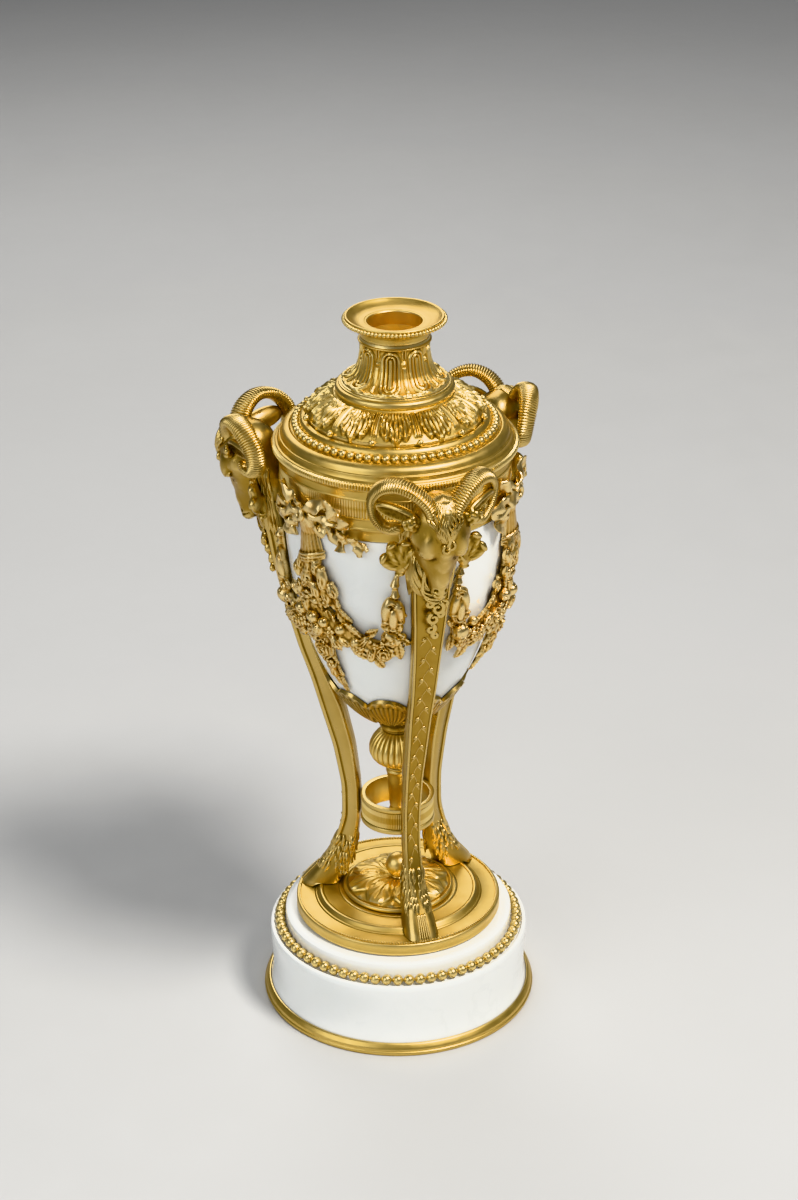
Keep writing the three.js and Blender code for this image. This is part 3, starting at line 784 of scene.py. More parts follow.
def makeNozzle(d):
    side, bore = np.array(d["side"]), d["bore"]
    run = lengthAlong(side)
    whole = run[-1]
    s = np.linspace(0, whole, 54)
    outer = np.column_stack([np.interp(s, run, side[:, k]) for k in range(2)])
    for _ in range(3):
        outer[1:-1] = (outer[:-2] + 2 * outer[1:-1] + outer[2:]) / 4
    lip = outline([
        (12.4, 263.0), (12.8, 263.2, 0.1), (12.8, 263.6, 0.15), (12.3, 263.8, 0.1), (12.15, 264.73),
        (bore, 264.73, 0.1), (bore, 252.4, 0.3), (bore - 0.4, d["floor"], 0.2),
    ], closed=False)
    rows = np.vstack([[[0, d["bottom"]]], outer, lip, [[0, d["floor"]]]])
    plain = np.zeros(len(lip) + 1)                     # no relief on the lip and in the bore
    along = np.concatenate([[0], s, plain])[:, None]
    raised = ease(s, 0.3, 0.7) * (1 - ease(s, whole - 0.5, whole - 0.1))
    raised = np.concatenate([[0], raised, plain])[:, None]

    def runAt(height):
        return np.interp(height, side[:, 1], run)

    def tongues(angle, r, z):
        pitch = fullTurn * r / d["tongues"]
        a = np.abs(((angle - math.radians(d["phase"])) * d["tongues"] / fullTurn + 0.5) % 1 - 0.5)
        half = np.interp(along, [0, 4, 10, whole], [4.4, 3.9, 3.3, 3.1])
        low, high = 1.7 + 3.4, whole - 0.6 - 3.1
        past = np.maximum(np.maximum(low - along, along - high), 0)
        reach = np.hypot(a * pitch, past) / half
        ovals = 0.78 * shelf(reach, 0.72, 0.99, 0.045) + 0.66 * shelf(reach, 0.32, 0.56, 0.045)
        ovals = ovals + 0.74 * (1 - ease(reach, 0.14, 0.22))
        between = (0.5 - a) * pitch
        height = np.interp(along, run, side[:, 1])
        dart = 0.62 * (1 - ease(between, 0.4, 0.85)) * shelf(along, 2.6, runAt(d["dartTop"]), 0.4)
        bead = 0.95 * bump(np.hypot(between, along - runAt(d["beadHeight"])), 0.75)
        flare = 0.55 * shelf(between, 0.28, 0.75, 0.12) * ease(height, *d["flareSpan"])
        border = 0.42 * bump(along - 1.5 - 0.3 * np.cos(angle * d["tongues"] * 4), 0.42)
        highest = np.maximum(ovals, np.maximum(np.maximum(dart, bead), np.maximum(flare, border)))
        return raised * (highest - 0.3)

    nozzle = turned(rows, d["tongues"] * d["columns"], tongues, closed=False)
    makePiece("tongue_nozzle", ["candle_nozzle"], [nozzle], litBurnishedGilt)


panShape = {
    "bottom": 264.75, "bore": 9.5, "columns": 128, "beads": 78, "beadRing": 17.5, "beadHeight": 270.55,
    "beadSize": 0.78,
}


def makePan(d):
    bore, low = d["bore"], d["bottom"]
    rows = outline([
        (bore, low), (12.0, low, 0.15), (12.1, 266.0, 0.5), (12.4, 267.6, 0.8), (13.6, 269.0, 1.0),
        (15.6, 269.8, 0.8),
        (17.0, 270.05, 0.2), (17.1, 270.5, 0.1), (17.1, 271.1, 0.1), (17.3, 271.5, 0.2),
        (17.1, 271.9, 0.15),
        (16.5, 271.85, 0.2), (15.5, 271.0, 0.6), (14.0, 270.2, 0.6), (12.4, 269.9, 0.4), (10.6, 269.9, 0.1),
        (10.4, 269.75, 0.1), (9.8, 269.75, 0.1), (bore, 269.4, 0.1),
    ])
    beads = beadRing(d["beads"], d["beadRing"], d["beadHeight"], d["beadSize"], 10, 6)
    makePiece("beaded_pan", ["drip_pan"], [turned(rows, d["columns"]), beads], satinGilt)


makeNozzle(nozzleShape)
makePan(panShape)
print("nozzle and pan done")


# soft modelling in a grid of distances: lumps and bars melt together, hollows are cut out
clayReach = 3.0


class Clay:
    def __init__(self, low, high, cell):
        self.low, self.cell = np.array(low, float), cell
        self.size = np.ceil((np.array(high) - self.low) / cell).astype(int) + 1
        self.field = np.full(self.size, clayReach, np.float32)

    def spots(self, first=(0, 0, 0), last=None):
        # the places of a block of cells, or of all of them
        last = self.size if last is None else last
        rows = [self.low[k] + self.cell * np.arange(first[k], last[k]) for k in range(3)]
        return np.meshgrid(*rows, indexing="ij", sparse=True)

    def window(self, low, high):
        first = np.clip(np.floor((np.array(low) - self.low) / self.cell).astype(int), 0, self.size - 1)
        last = np.clip(np.ceil((np.array(high) - self.low) / self.cell).astype(int) + 1, first + 1, self.size)
        return tuple(slice(a, b) for a, b in zip(first, last)), self.spots(first, last)

    def put(self, part, d, soft, away=False):
        f = self.field[part]
        if away:
            h = np.clip(0.5 - 0.5 * (d + f) / soft, 0, 1)
            self.field[part] = f - (d + f) * h + soft * h * (1 - h)
        else:
            h = np.clip(0.5 + 0.5 * (f - d) / soft, 0, 1)
            self.field[part] = f + (d - f) * h - soft * h * (1 - h)

    def lump(self, middle, half, soft=0.5, axes=None, away=False):
        middle, half = np.array(middle, float), np.array(half, float)
        axes = np.eye(3) if axes is None else axes
        reach = np.sqrt(((axes * half[:, None]) ** 2).sum(0)) + soft + 2 * self.cell
        part, spots = self.window(middle - reach, middle + reach)
        x, y, z = (s - m for s, m in zip(spots, middle))
        local = [a[0] * x + a[1] * y + a[2] * z for a in axes]
        near = np.sqrt(sum((p / h) ** 2 for p, h in zip(local, half)))
        slope = np.sqrt(sum((p / h ** 2) ** 2 for p, h in zip(local, half)))
        self.put(part, near * (near - 1) / np.maximum(slope, 1e-6), soft, away)

    def ball(self, middle, size, soft):
        self.lump(middle, (size, size, size), soft)

    def bar(self, a, b, ra, rb, soft=0.5, away=False):
        a, b = np.array(a, float), np.array(b, float)
        reach = max(ra, rb) + soft + 2 * self.cell
        part, (x, y, z) = self.window(np.minimum(a, b) - reach, np.maximum(a, b) + reach)
        x, y, z = x - a[0], y - a[1], z - a[2]
        run = b - a
        t = np.clip((x * run[0] + y * run[1] + z * run[2]) / run.dot(run), 0, 1)
        far = np.sqrt((x - t * run[0]) ** 2 + (y - t * run[1]) ** 2 + (z - t * run[2]) ** 2)
        self.put(part, far - (ra + (rb - ra) * t), soft, away)

    def chain(self, points, radii, soft=0.5, away=False):
        for a, b, ra, rb in zip(points[:-1], points[1:], radii[:-1], radii[1:]):
            self.bar(a, b, ra, rb, soft, away)

    def trim(self, past):
        # past is how far each cell lies beyond the surface that cuts the clay
        self.field = np.maximum(self.field, np.broadcast_to(past, self.field.shape).astype(np.float32))

    def skin(self, thrift):
        # thrift lets flat parts have larger faces
        grid = openvdb.FloatGrid(clayReach)
        grid.copyFromArray(self.field)
        points, tris, quads = grid.convertToPolygons(isovalue=0.0, adaptivity=thrift)
        return points * self.cell + self.low, quads.astype(np.int64), tris.astype(np.int64).reshape(-1, 3)


def unit(v):
    return np.asarray(v, float) / np.linalg.norm(v)


def unitRows(v):
    return v / np.maximum(np.linalg.norm(v, axis=1, keepdims=True), 1e-9)


def axesOf(along, facing):
    # rows: along, across, facing
    along = unit(along)
    facing = unit(np.asarray(facing, float) - along * np.dot(along, facing))
    return np.array([along, np.cross(facing, along), facing])


def curve(points, count):
    # a smooth run through the points
    p = np.asarray(points, float)
    p = np.vstack([2 * p[0] - p[1], p, 2 * p[-1] - p[-2]])
    t = np.linspace(0, len(p) - 3 - 1e-9, count)
    i = t.astype(int)
    f = (t - i)[:, None]
    a, b, c, e = p[i], p[i + 1], p[i + 2], p[i + 3]
    bend, twist = 2 * a - 5 * b + 4 * c - e, 3 * b - a - 3 * c + e
    return 0.5 * (2 * b + (c - a) * f + bend * f ** 2 + twist * f ** 3)


def sideAngles(sides):
    return (np.arange(sides) + 0.5) * fullTurn / sides


def swept(path, half, facing, sides=6, swell=1.0):
    # a bar along a path; half gives thickness and width at each point, facing the thickness direction
    path, half = np.asarray(path, float), np.asarray(half, float)
    along = unitRows(np.gradient(path, axis=0))
    facing = np.broadcast_to(np.asarray(facing, float), path.shape)
    outward = unitRows(facing - along * np.sum(along * facing, axis=1, keepdims=True))
    across = np.cross(along, outward)
    turn = sideAngles(sides)
    c, s = np.cos(turn)[None, :, None], np.sin(turn)[None, :, None]
    offset = outward[:, None] * half[:, None, :1] * c + across[:, None] * half[:, None, 1:] * s
    rings = path[:, None] + offset * np.asarray(swell)[..., None]
    first, last = (path[k] + way * along[k] * half[k, 0] * 0.6 for k, way in ((0, -1), (-1, 1)))
    return closedTube(rings, first, last)


def strand(points, thick, thin, facing=(0, 1, 0), count=14, sides=6, broad=1.0):
    s = np.linspace(0, 1, count)
    half = thin + (thick - thin) * np.sqrt(np.clip(1 - s ** 2, 0, 1)) * ease(s, -0.25, 0.2)
    return swept(curve(points, count), np.column_stack([half, half * broad]), facing, sides)


def curled(middle, way, turn, size, rise, thick):
    # a round bar wound up in front of the head
    t, r, z = middle
    path = np.column_stack([t + way * size * np.sin(turn), r + rise * turn, z + size * np.cos(turn)])
    half = np.linspace(*thick, len(turn))
    return swept(path, np.column_stack([half, half]), (0, 1, 0))


def mirrored(shell):
    p, q, t = shell
    return p * (-1, 1, 1), q[:, ::-1], t[:, ::-1]


def toFront(shell):
    # sideways, radius, height to the leg at -Y
    p, q, t = shell
    return p * (1, -1, 1), q[:, ::-1], t[:, ::-1]


# one ram leg in sideways, radius and height: head, horns, beard, leaf scrolls, leg and hoof
ramHead = {
    "cell": 0.36, "thrift": 0.1, "low": (-23, 41, 184), "high": (23, 68.5, 233),
    # middle and half sizes
    "skull": ((0, 55.4, 218.4), (8.6, 8.0, 8.8)), "brow": ((4.9, 59.9, 212.4), (3.5, 3.3, 5.7)),
    "eye": ((7.6, 59.2, 209.0), (1.1, 1.0, 0.8)), "nostril": ((1.75, 56.7, 193.2), (0.5, 0.8, 1.0)),
    "crown": ((0, 57.6, 225.2), (4.2, 4.6, 2.9)), "forehead": ((0, 62.3, 219.6), (3.9, 2.8, 6.6)),
    # places, each with its radius
    "neck": [(0, 52.5, 219.0, 8.6), (0, 47.4, 205.0, 7.8), (0, 45.0, 190.0, 5.6)],
    "face": [(0, 60.2, 217.0, 4.6), (0, 58.8, 210.0, 3.9), (0, 57.2, 204.8, 3.3), (0, 55.8, 198.2, 3.0),
             (0, 54.5, 191.8, 2.75)],
    "cheek": [(5.4, 55.2, 214.0, 5.2), (2.3, 53.9, 204.5, 3.6), (0.8, 52.5, 194.4, 2.4)],
    "crease": [
        (8.8, 58.0, 210.0, 0.45), (7.2, 59.2, 207.6, 0.9), (5.0, 60.4, 206.3, 0.85),
        (3.0, 61.2, 206.5, 0.45),
    ],
    "lid": [(5.6, 61.2, 208.0, 0.25), (7.5, 60.3, 209.8, 0.45), (8.9, 58.2, 210.0, 0.3)],
    "mouth": [(0.5, 57.5, 191.2, 0.2), (2.0, 56.0, 191.5, 0.25), (2.9, 53.4, 192.8, 0.2)],
    "ear": ((8.6, 57.6, 221.2), (20.4, 47.8, 223.6)), "earFacing": (0.6, 0.62, -0.5),
    "earHalf": (8.2, 3.9, 2.2), "earHollow": (7.0, 3.1, 2.3),
    "tuft": (10.8, 57.6, 219.8), "knobs": 10, "knobSize": 1.25,
}
plainHead = dict(ramHead, cell=0.46, thrift=0.15)
wallSteps = {
    "collar": 204, "band": 208, "rim": 223.4, "collarRadius": 40.4, "bandRadius": 41.3, "rimRadius": 43.5,
    "gap": 0.35,
}


def wallAt(z, d=wallSteps):
    # outside of the urn, the collar and the cover's rim
    urn = urnShape["radius"] * np.sin(urnAngle(np.minimum(z, urnShape["top"])))
    upper = np.where(z < d["rim"], d["bandRadius"], d["rimRadius"])
    return np.where(z < d["collar"], urn, np.where(z < d["band"], d["collarRadius"], upper))


def keepOffWall(clay):
    t, r, z = clay.spots()
    clay.trim(wallAt(z) + wallSteps["gap"] - np.hypot(t, r))


def sculptHead(d):
    clay = Clay(d["low"], d["high"], d["cell"])

    def chain(name, soft, side=1, away=False):
        clay.chain([(side * t, r, z) for t, r, z, _ in d[name]], [row[3] for row in d[name]], soft, away)

    def lump(name, soft, side=1, axes=None, away=False):
        (t, r, z), half = d[name]
        clay.lump((side * t, r, z), half, soft, axes, away)

    lump("skull", 0.5)
    chain("neck", 3)
    chain("face", 1.6)
    for s in (-1, 1):
        chain("cheek", 2.4, s)
        lump("brow", 1.3, s, axesOf((1, s * -0.35, s * 0.22), (0, 0, 1)))
        chain("crease", 0.5, s, away=True)
        lump("eye", 0.2, s)
        chain("lid", 0.5, s)
        lump("nostril", 0.5, s, axesOf((s * 0.9, 0.3, 0.5), (0, 1, 0)), away=True)
        chain("mouth", 0.4, s, away=True)
        base, tip = (np.array(v) * (s, 1, 1) for v in d["ear"])
        ear = axesOf(tip - base, np.array(d["earFacing"]) * (s, 1, 1))
        middle = base + (tip - base) * 0.5
        clay.lump(middle, d["earHalf"], 0.6, ear)
        clay.lump(middle + ear[0] * 0.3 + ear[2] * 2.0, d["earHollow"], 0.4, ear, away=True)
        for k in range(d["knobs"]):
            turn = k * 2.4
            out = 2.5 * math.sqrt((k + 0.3) / d["knobs"])
            spot = np.array(d["tuft"]) + (out * math.cos(turn), 1.3 - out * 0.5, out * math.sin(turn))
            clay.ball(spot * (s, 1, 1), d["knobSize"], 0.2)
    lump("crown", 1.2)
    lump("forehead", 0.8)
    keepOffWall(clay)
    return clay.skin(d["thrift"])


ramHorn = {
    "path": [(3.0, 58.0, 219.6), (4.5, 58.4, 225.0), (8.4, 57.2, 229.8), (13.4, 54.0, 232.2),
             (18.0, 49.6, 230.6), (20.6, 45.8, 225.6), (20.2, 44.8, 219.4), (17.6, 46.6, 215.2),
             (14.6, 50.2, 214.8), (13.2, 53.0, 217.2)],
    "centre": (12, 52, 223.5), "thick": (2.6, 2.4, 2.1, 1.9, 1.7), "wide": (4.4, 4.0, 3.7, 3.3, 2.6),
    "ribs": 60, "ribRows": 5, "depth": 0.32, "sides": 14,
}


def makeHorn(d):
    count = d["ribs"] * d["ribRows"] + 1
    path = curve(d["path"], 400)
    length = lengthAlong(path)
    even = np.linspace(0, length[-1], count)
    path = np.column_stack([np.interp(even, length, path[:, k]) for k in range(3)])
    s = np.linspace(0, 1, count)
    blunt = np.sqrt(np.clip(1 - ((s - 0.96) / 0.04).clip(0, 0.95) ** 2, 0.1, 1))
    half = np.column_stack([np.interp(s, np.linspace(0, 1, 5), d[key]) for key in ("thick", "wide")])
    half = half * blunt[:, None]
    outer = ease(np.cos(sideAngles(d["sides"])), -0.75, 0.0)[None, :]
    ribs = (np.abs(np.sin(s * d["ribs"] * math.pi))[:, None] ** 0.7 - 0.7) * d["depth"] * outer
    ribs = ribs * ease(s, 0.02, 0.06)[:, None]
    facing = (path - np.array(d["centre"])) * (1, 0.35, 1)
    return swept(path, half, facing, d["sides"], 1 + ribs / half[:, :1])


forelock = {
    "seed": 5, "locks": 13, "layers": ((1.0, -0.1), (0.72, 0.4), (0.42, 0.8)), "top": 227.4, "topLocks": 11,
    "front": [(210.0, 62.9), (214.4, 64.6), (217.4, 65.0), (220.8, 64.5), (224.4, 62.8), (227.8, 60.0)],
    "knobs": ((1, 1.1, 213.2), (-1, -0.4, 212.0)),
}


def makeForelock(d):
    rng = np.random.default_rng(d["seed"])
    shells = []
    front = np.array(d["front"])
    q = np.linspace(0, 1, 8)                         # from the root to the tip of a lock
    for layer, (wide, lift) in enumerate(d["layers"]):
        locks = d["locks"] - 3 * layer
        for k in range(locks):
            a = k / (locks - 1) * 2 - 1
            z = d["top"] - q * (15.8 - 6.0 * abs(a) ** 1.2 + 1.2 * rng.random())
            spread = 2.2 + 3.5 * np.sin(math.pi * np.minimum(q * 1.05, 1)) - 1.1 * q
            wave = 1.05 * np.sin(fullTurn * (1.7 * q + 0.10 * k + 0.35 * layer)) * np.sqrt(q) * (1 - 0.35 * q)
            t = a * wide * spread + a * abs(a) * 1.6 * wide * q ** 2 + wave
            r = np.interp(z, front[:, 0], front[:, 1]) - 0.065 * t * t + lift
            shells.append(strand(np.column_stack([t, r, z]), 0.52 + 0.12 * rng.random(), 0.16, count=22))
    for way, t, z in d["knobs"]:
        size = np.linspace(1.5, 0.6, 18)
        shells.append(curled((t, 64.3, z), way, np.linspace(0.4, 5.6, 18), size, 0.14, (0.8, 0.5)))
    for a in np.linspace(-1, 1, d["topLocks"]):
        points = [(a * 2.6, 60.0, 227.0), (a * 3.2, 57.6, 228.8 - abs(a)), (a * 3.0, 54.4, 228.2 - abs(a))]
        shells.append(strand(points, 0.5, 0.25, facing=(0, 0, 1), count=8))
    return shells


# a lock's run along the leg's edge, and how far it moves to lie against the jaw
beardSet = {
    "seed": 3, "locks": 15,
    "edge": [(-8.8, 48.8, 207.0), (-9.4, 49.2, 201.4), (-8.4, 49.6, 196.0), (-7.0, 49.6, 191.4),
             (-4.4, 49.0, 187.6), (-1.2, 48.2, 185.0), (1.8, 47.6, 184.2), (4.0, 47.2, 185.8)],
    "toJaw": [(5.6, 4.4, -3.0), (5.2, 3.6, -0.8), (4.2, 2.4, 0), (3.4, 1.4, 0.6), (3.6, 0.8, 1.6),
              (3.6, 0.4, 2.6), (2.6, 0, 3.6), (0.8, 0, 3.4)],
    "lift": (0, 0.6, 1, 1, 1, 0.9, 0.7, 0.3), "sway": (0.25, 0.8, 1.0, 1.0, 0.9, 0.8, 0.6, 0.3),
    # place, size and way round
    "curls": [(1.2, 47.6, 182.4, 2.3, 1), (4.0, 47.0, 184.2, 1.5, -1), (-1.6, 47.2, 184.4, 1.5, 1),
              (0.0, 46.6, 178.2, 2.1, -1), (2.4, 46.2, 179.6, 1.3, 1), (-0.8, 45.8, 174.0, 1.7, 1),
              (1.0, 45.2, 171.2, 1.2, -1)],
}


def between(first, change, share):
    return np.array(first) + share * np.array(change)


def makeBeard(d):
    rng = np.random.default_rng(d["seed"])
    shells = []
    for k in range(d["locks"]):
        a = k / (d["locks"] - 1)
        lift = 1.2 * math.sin(math.pi * a) + 0.55 * (k % 3) + 0.3 * rng.random()
        points = between(d["edge"], d["toJaw"], a)
        points[:, 1] += lift * np.array(d["lift"])
        sway = np.sin(np.arange(8) * 1.9 + k * 0.55 + rng.uniform(-0.3, 0.3)) * d["sway"]
        points[:, 0] += sway * 0.75
        points[:, 2] += sway * np.linspace(0, 0.8, 8)
        points = points[:8 - k * 4 % 3]              # some locks end early
        shells.append(strand(points, 0.66, 0.2, count=30))
    for t, r, z, size, way in d["curls"]:
        curl = np.linspace(1, 0.22, 26) * size
        shells.append(curled((t, r + 0.4, z), way, np.linspace(0.3, 7.4, 26), curl, 0.06, (1.3, 0.7)))
    return shells


# waved locks behind the horn and down the leg's side, straight ones beside the jaw
fringeSet = {
    "waved": 8, "straight": 4, "thick": 0.85, "thin": 0.25, "wave": (0, 1, -1, 1, -1, 1),
    "side": [(8.4, 48.4, 215.5), (9.0, 47.9, 210.0), (8.8, 47.2, 204.5), (8.0, 46.4, 199.0),
             (7.4, 45.6, 193.5), (6.9, 44.8, 188.5)],
    "toBack": [
        (1.6, -4.6, -1.5), (1.4, -4.2, 0), (0.9, -3.9, 0), (0.5, -3.9, 0), (0.3, -3.7, -1), (0.1, -3.5, -3),
    ],
    "jaw": [(4.5, 53.5, 203.8), (4.4, 51.8, 199.5), (4.0, 49.9, 194.8), (4.3, 48.2, 190.6)],
    "toSide": [(2.4, -1.5, 0), (1.8, -1.2, 0), (1.2, -0.8, 0), (0.6, 0, 0)],
}


def makeFringe(d):
    shells = []
    for k in range(d["waved"]):
        points = between(d["side"], d["toBack"], k / (d["waved"] - 1))
        points[:, 1] += 0.5 * math.sin(k * 1.9) * np.array(d["wave"])
        shells.append(strand(points, d["thick"], d["thin"], facing=(1, 0.5, 0), count=22))
    for a in np.linspace(0, 1, d["straight"]):
        shells.append(strand(between(d["jaw"], d["toSide"], a), d["thick"], d["thin"]))
    return shells


scrollLeaf = {
    "cell": 0.34, "thrift": 0.2, "low": (3, 41, 193), "high": (22, 54, 213),
    "stem": [(11.4, 45.6, 196.4, 1.5), (10.8, 46.4, 199.4, 2.1), (10.4, 47.2, 202.6, 2.2)],
    # root, tip and half width of each lobe
    "lobes": [
        ((11.0, 46.6, 199.4), (18.0, 47.0, 203.6), 3.1), ((11.0, 47.0, 200.6), (15.2, 47.8, 208.6), 3.0),
        ((10.2, 47.6, 200.8), (10.0, 49.0, 209.4), 3.0), ((9.8, 48.0, 200.0), (6.2, 50.6, 206.4), 2.6),
    ],
    "ties": ((11.4, 45.7, 197.4), (11.4, 45.7, 195.9)), "tieHalf": (1.9, 1.7, 0.6),
}


def makeScroll(d):
    # lobed leaf under the ear, from which the garland hangs
    clay = Clay(d["low"], d["high"], d["cell"])
    clay.chain([row[:3] for row in d["stem"]], [row[3] for row in d["stem"]], 0.8)
    for root, tip, wide in d["lobes"]:
        root, tip = np.array(root), np.array(tip)
        axes = axesOf(tip - root, (0.1, 1, 0.15))
        along, across, out = axes
        reach = np.linalg.norm(tip - root) / 2
        middle = (root + tip) / 2
        clay.lump(middle, (reach + 0.9, wide, 1.5), 0.5, axes)
        clay.lump(middle + along * 0.6 + out * 1.7, (reach * 0.75, wide * 0.62, 0.9), 0.5, axes, away=True)
        clay.bar(root + out * 1.2, tip - along * 1.4 + out * 0.5, 0.6, 0.35, 0.4)
        for side in (-1, 1):
            start = middle - along * reach * 0.5 + across * side * wide * 0.2 + out * 1.2
            stop = middle + along * reach * 0.4 + across * side * wide * 0.9 + out * 1.0
            clay.bar(start, stop, 0.2, 0.3, 0.3, away=True)
        clay.lump(tip + out * 0.9 - along * 0.3, (1.0, wide * 0.7, 0.9), 0.4, axes)
    for tie in d["ties"]:
        clay.lump(tie, d["tieHalf"], 0.2)
    keepOffWall(clay)
    return clay.skin(d["thrift"])


# leg: height, inner and outer radius and width of each row, from the head down
ramLeg = {
    "rows": [
        (200, 41.6, 48.2, 14.0), (190, 40.4, 46.6, 13.2), (176, 38.4, 44.3, 11.6), (160, 35.2, 40.8, 9.9),
        (142, 30.1, 36, 8.6), (130, 25.4, 31.8, 7.9), (117.7, 20.3, 28.4, 7.2), (101.5, 16.4, 23.8, 6.3),
        (84.8, 14.4, 20.8, 5.9), (71, 14.4, 20.8, 5.8), (60, 16, 24, 6.2), (53.5, 17.2, 27.2, 7.8),
        (48, 18.8, 31.2, 10.4), (43.5, 21.6, 35.2, 12.2), (40.4, 22, 37.4, 12.8),
    ],
    "step": 0.8, "sunk": 0.16, "lip": 0.75, "hoofTop": (51, 58), "seed": 9,
    "dots": (168.0, 64.0, -4.6), "dotSize": (0.74, 0.66, 0.7), "vine": 0.16,
    "furRows": (62.6, 60.2, 57.8, 55.4, 53.0, 51.0), "furLocks": 13,
    "flutes": 5, "flutePitch": 0.86, "fluteTop": 48.2, "fluteLow": 40.75,
}


def smoothRows(rows, step):
    # even heights with the corners of the listed rows eased
    rows = np.array(rows)[::-1]
    z = np.arange(rows[0, 0], rows[-1, 0] + step / 2, step)
    table = np.column_stack([np.interp(z, rows[:, 0], rows[:, k]) for k in range(1, 4)])
    for _ in range(int(14 / step)):
        table[1:-1] = (table[:-2] + 2 * table[1:-1] + table[2:]) / 4
    return z, table


legHeights, legTable = smoothRows(ramLeg["rows"], ramLeg["step"])


def legAt(z, which):
    # inner radius, outer radius or width of the leg at a height
    return np.interp(z, legHeights, legTable[:, ("inner", "outer", "wide").index(which)])


def plateUnder(r):
    # top of the base plate and its raised middle
    return 40.38 + 1.9 * (1 - ease(r, 29.3, 31.4))


def hoofRound(inner, outer, wide, angle):
    # sideways and radius on the rounded section of the hoof, angle from its front
    s, c = np.sin(angle), np.cos(angle)
    t = wide / 2 * np.sign(s) * np.abs(s) ** 0.7
    return t, (inner + outer) / 2 + (outer - inner) / 2 * np.sign(c) * np.abs(c) ** 0.75


def makeLeg(d):
    rings = []
    face, lip = d["sunk"], d["lip"]
    for z, (inner, outer, wide) in zip(legHeights, legTable):
        h = wide / 2
        panel = ease(z, *d["hoofTop"])
        flatSide = np.array([
            (0.0, outer - face), (h - lip - 0.45, outer - face), (h - lip - 0.2, outer - face - 0.03),
            (h - lip, outer - face + 0.02), (h - lip + 0.15, outer), (h - 0.25, outer - 0.04),
            (h, outer - 0.35), (h, outer - 1.35), (h - 0.25, outer - 1.6), (h - 0.28, outer - 2.2),
            (h - 0.04, outer - 2.45), (h, inner + 1.0), (h - 0.25, inner + 0.3), (h - 0.8, inner),
            (0.0, inner),
        ])
        hoof = np.column_stack(hoofRound(inner, outer, wide, np.linspace(0, math.pi, len(flatSide))))
        half = flatSide * panel + hoof * (1 - panel)
        half[[0, -1], 0] = 0
        ring = [(-t, r) for t, r in half] + [(t, r) for t, r in half[-2:0:-1]]
        rings.append([(t, r, max(z, plateUnder(r))) for t, r in ring])
    rings = np.array(rings)
    return closedTube(rings, rings[0].mean(0), rings[-1].mean(0))


def makeVine(d):
    # dots in their cups on a thin vine down the panel
    shells, dots, vine = [], [], []

    def onPanel(*spots):
        return [(t, legAt(z, "outer") - d["sunk"] + proud, z) for t, z, proud in spots]

    for k, z in enumerate(np.arange(*d["dots"])):
        side = 1 if k % 2 else -1
        wide = legAt(z, "wide")
        t = side * wide * 0.17
        vine += onPanel((t * 0.6, z + 1.0, 0))
        dots += onPanel((t, z, 0.15))
        cup = onPanel((t - 0.8, z - 0.2, 0.05), (t - 0.3, z - 0.85, 0.1), (t + 0.35, z - 0.85, 0.1),
                      (t + 0.8, z - 0.15, 0.05))
        leaf = onPanel((t * 0.7, z - 1.0, 0), (t + side * 0.5, z - 1.8, 0.1),
                       (t + side * wide * 0.12, z - 3.0, 0))
        shells += [strand(run, 0.27, 0.1, count=8, sides=5) for run in (cup, leaf)]
    count = len(vine) * 6
    shells.append(swept(curve(vine, count), np.full((count, 2), d["vine"]), (0, 1, 0), 5))
    shells.append(repeated(ballShell(10, 7), dots, d["dotSize"]))
    return shells


def makeFur(d):
    # rows of locks round the leg above the hoof
    rng = np.random.default_rng(d["seed"])
    shells = []
    for n, z in enumerate(d["furRows"]):
        inner, outer, wide = (legAt(z, which) for which in ("inner", "outer", "wide"))
        locks = d["furLocks"] + n
        for k in range(locks):
            a = ((k + 0.5 * (n % 2)) / (locks - 0.5) * 2 - 1) * 2.5 + rng.uniform(-0.1, 0.1)
            out = np.array((math.sin(a), math.cos(a), 0))
            root = np.array((*hoofRound(inner, outer, wide, a), z))
            sway = rng.uniform(-0.9, 0.9)
            fall = 0.66 if out[1] > 0.2 else 0.05
            tip = rng.uniform(0.25, 0.7)
            points = [
                root - out * 0.3 + (0, 0, 0.6), root + out * 0.3 + (sway * 0.6, fall * 0.7, -1.2),
                root + out * 0.35 + (sway * 0.7, fall * 1.9, -2.8),
                root + out * (0.2 + tip) - (sway * 0.3, fall * -2.9, 4.5),
            ]
            shells.append(strand(points, 0.58, 0.12, facing=out, count=11, broad=1.3))
    return shells


def makeHoofFlutes(d):
    shells = []
    z = np.linspace(d["fluteTop"], d["fluteLow"], 12)
    half = np.column_stack([np.full(12, 0.55), np.full(12, 0.40)])
    for k in range(d["flutes"]):
        t = (k - (d["flutes"] - 1) / 2) * d["flutePitch"]
        r = legAt(z, "outer") - 0.03 * t * t
        path = np.column_stack([t * np.linspace(0.72, 1.0, 12), r, z])
        shells.append(swept(path, half, (0, 1, 0.6), 8))
    return shells


def makeRams():
    # the one at the back right is meshed more plainly
    horn, fringe, scroll = makeHorn(ramHorn), makeFringe(fringeSet), makeScroll(scrollLeaf)
    shared = [horn, mirrored(horn), scroll, mirrored(scroll), makeLeg(ramLeg)]
    shared += fringe + [mirrored(f) for f in fringe]
    shared += makeVine(ramLeg) + makeFur(ramLeg) + makeHoofFlutes(ramLeg)
    shared += makeForelock(forelock) + makeBeard(beardSet)
    fine, plain = (joinShells([sculptHead(head)] + shared) for head in (ramHead, plainHead))
    for k, whole in enumerate((fine, plain, fine)):
        ram = spun(toFront(whole), 120 * k)
        makePiece("ram_leg_cast_%d" % (k + 1), ["ram_leg_%d" % (k + 1)], [ram], shadedCastGilt, crease=60)


makeRams()
print("ram legs done")


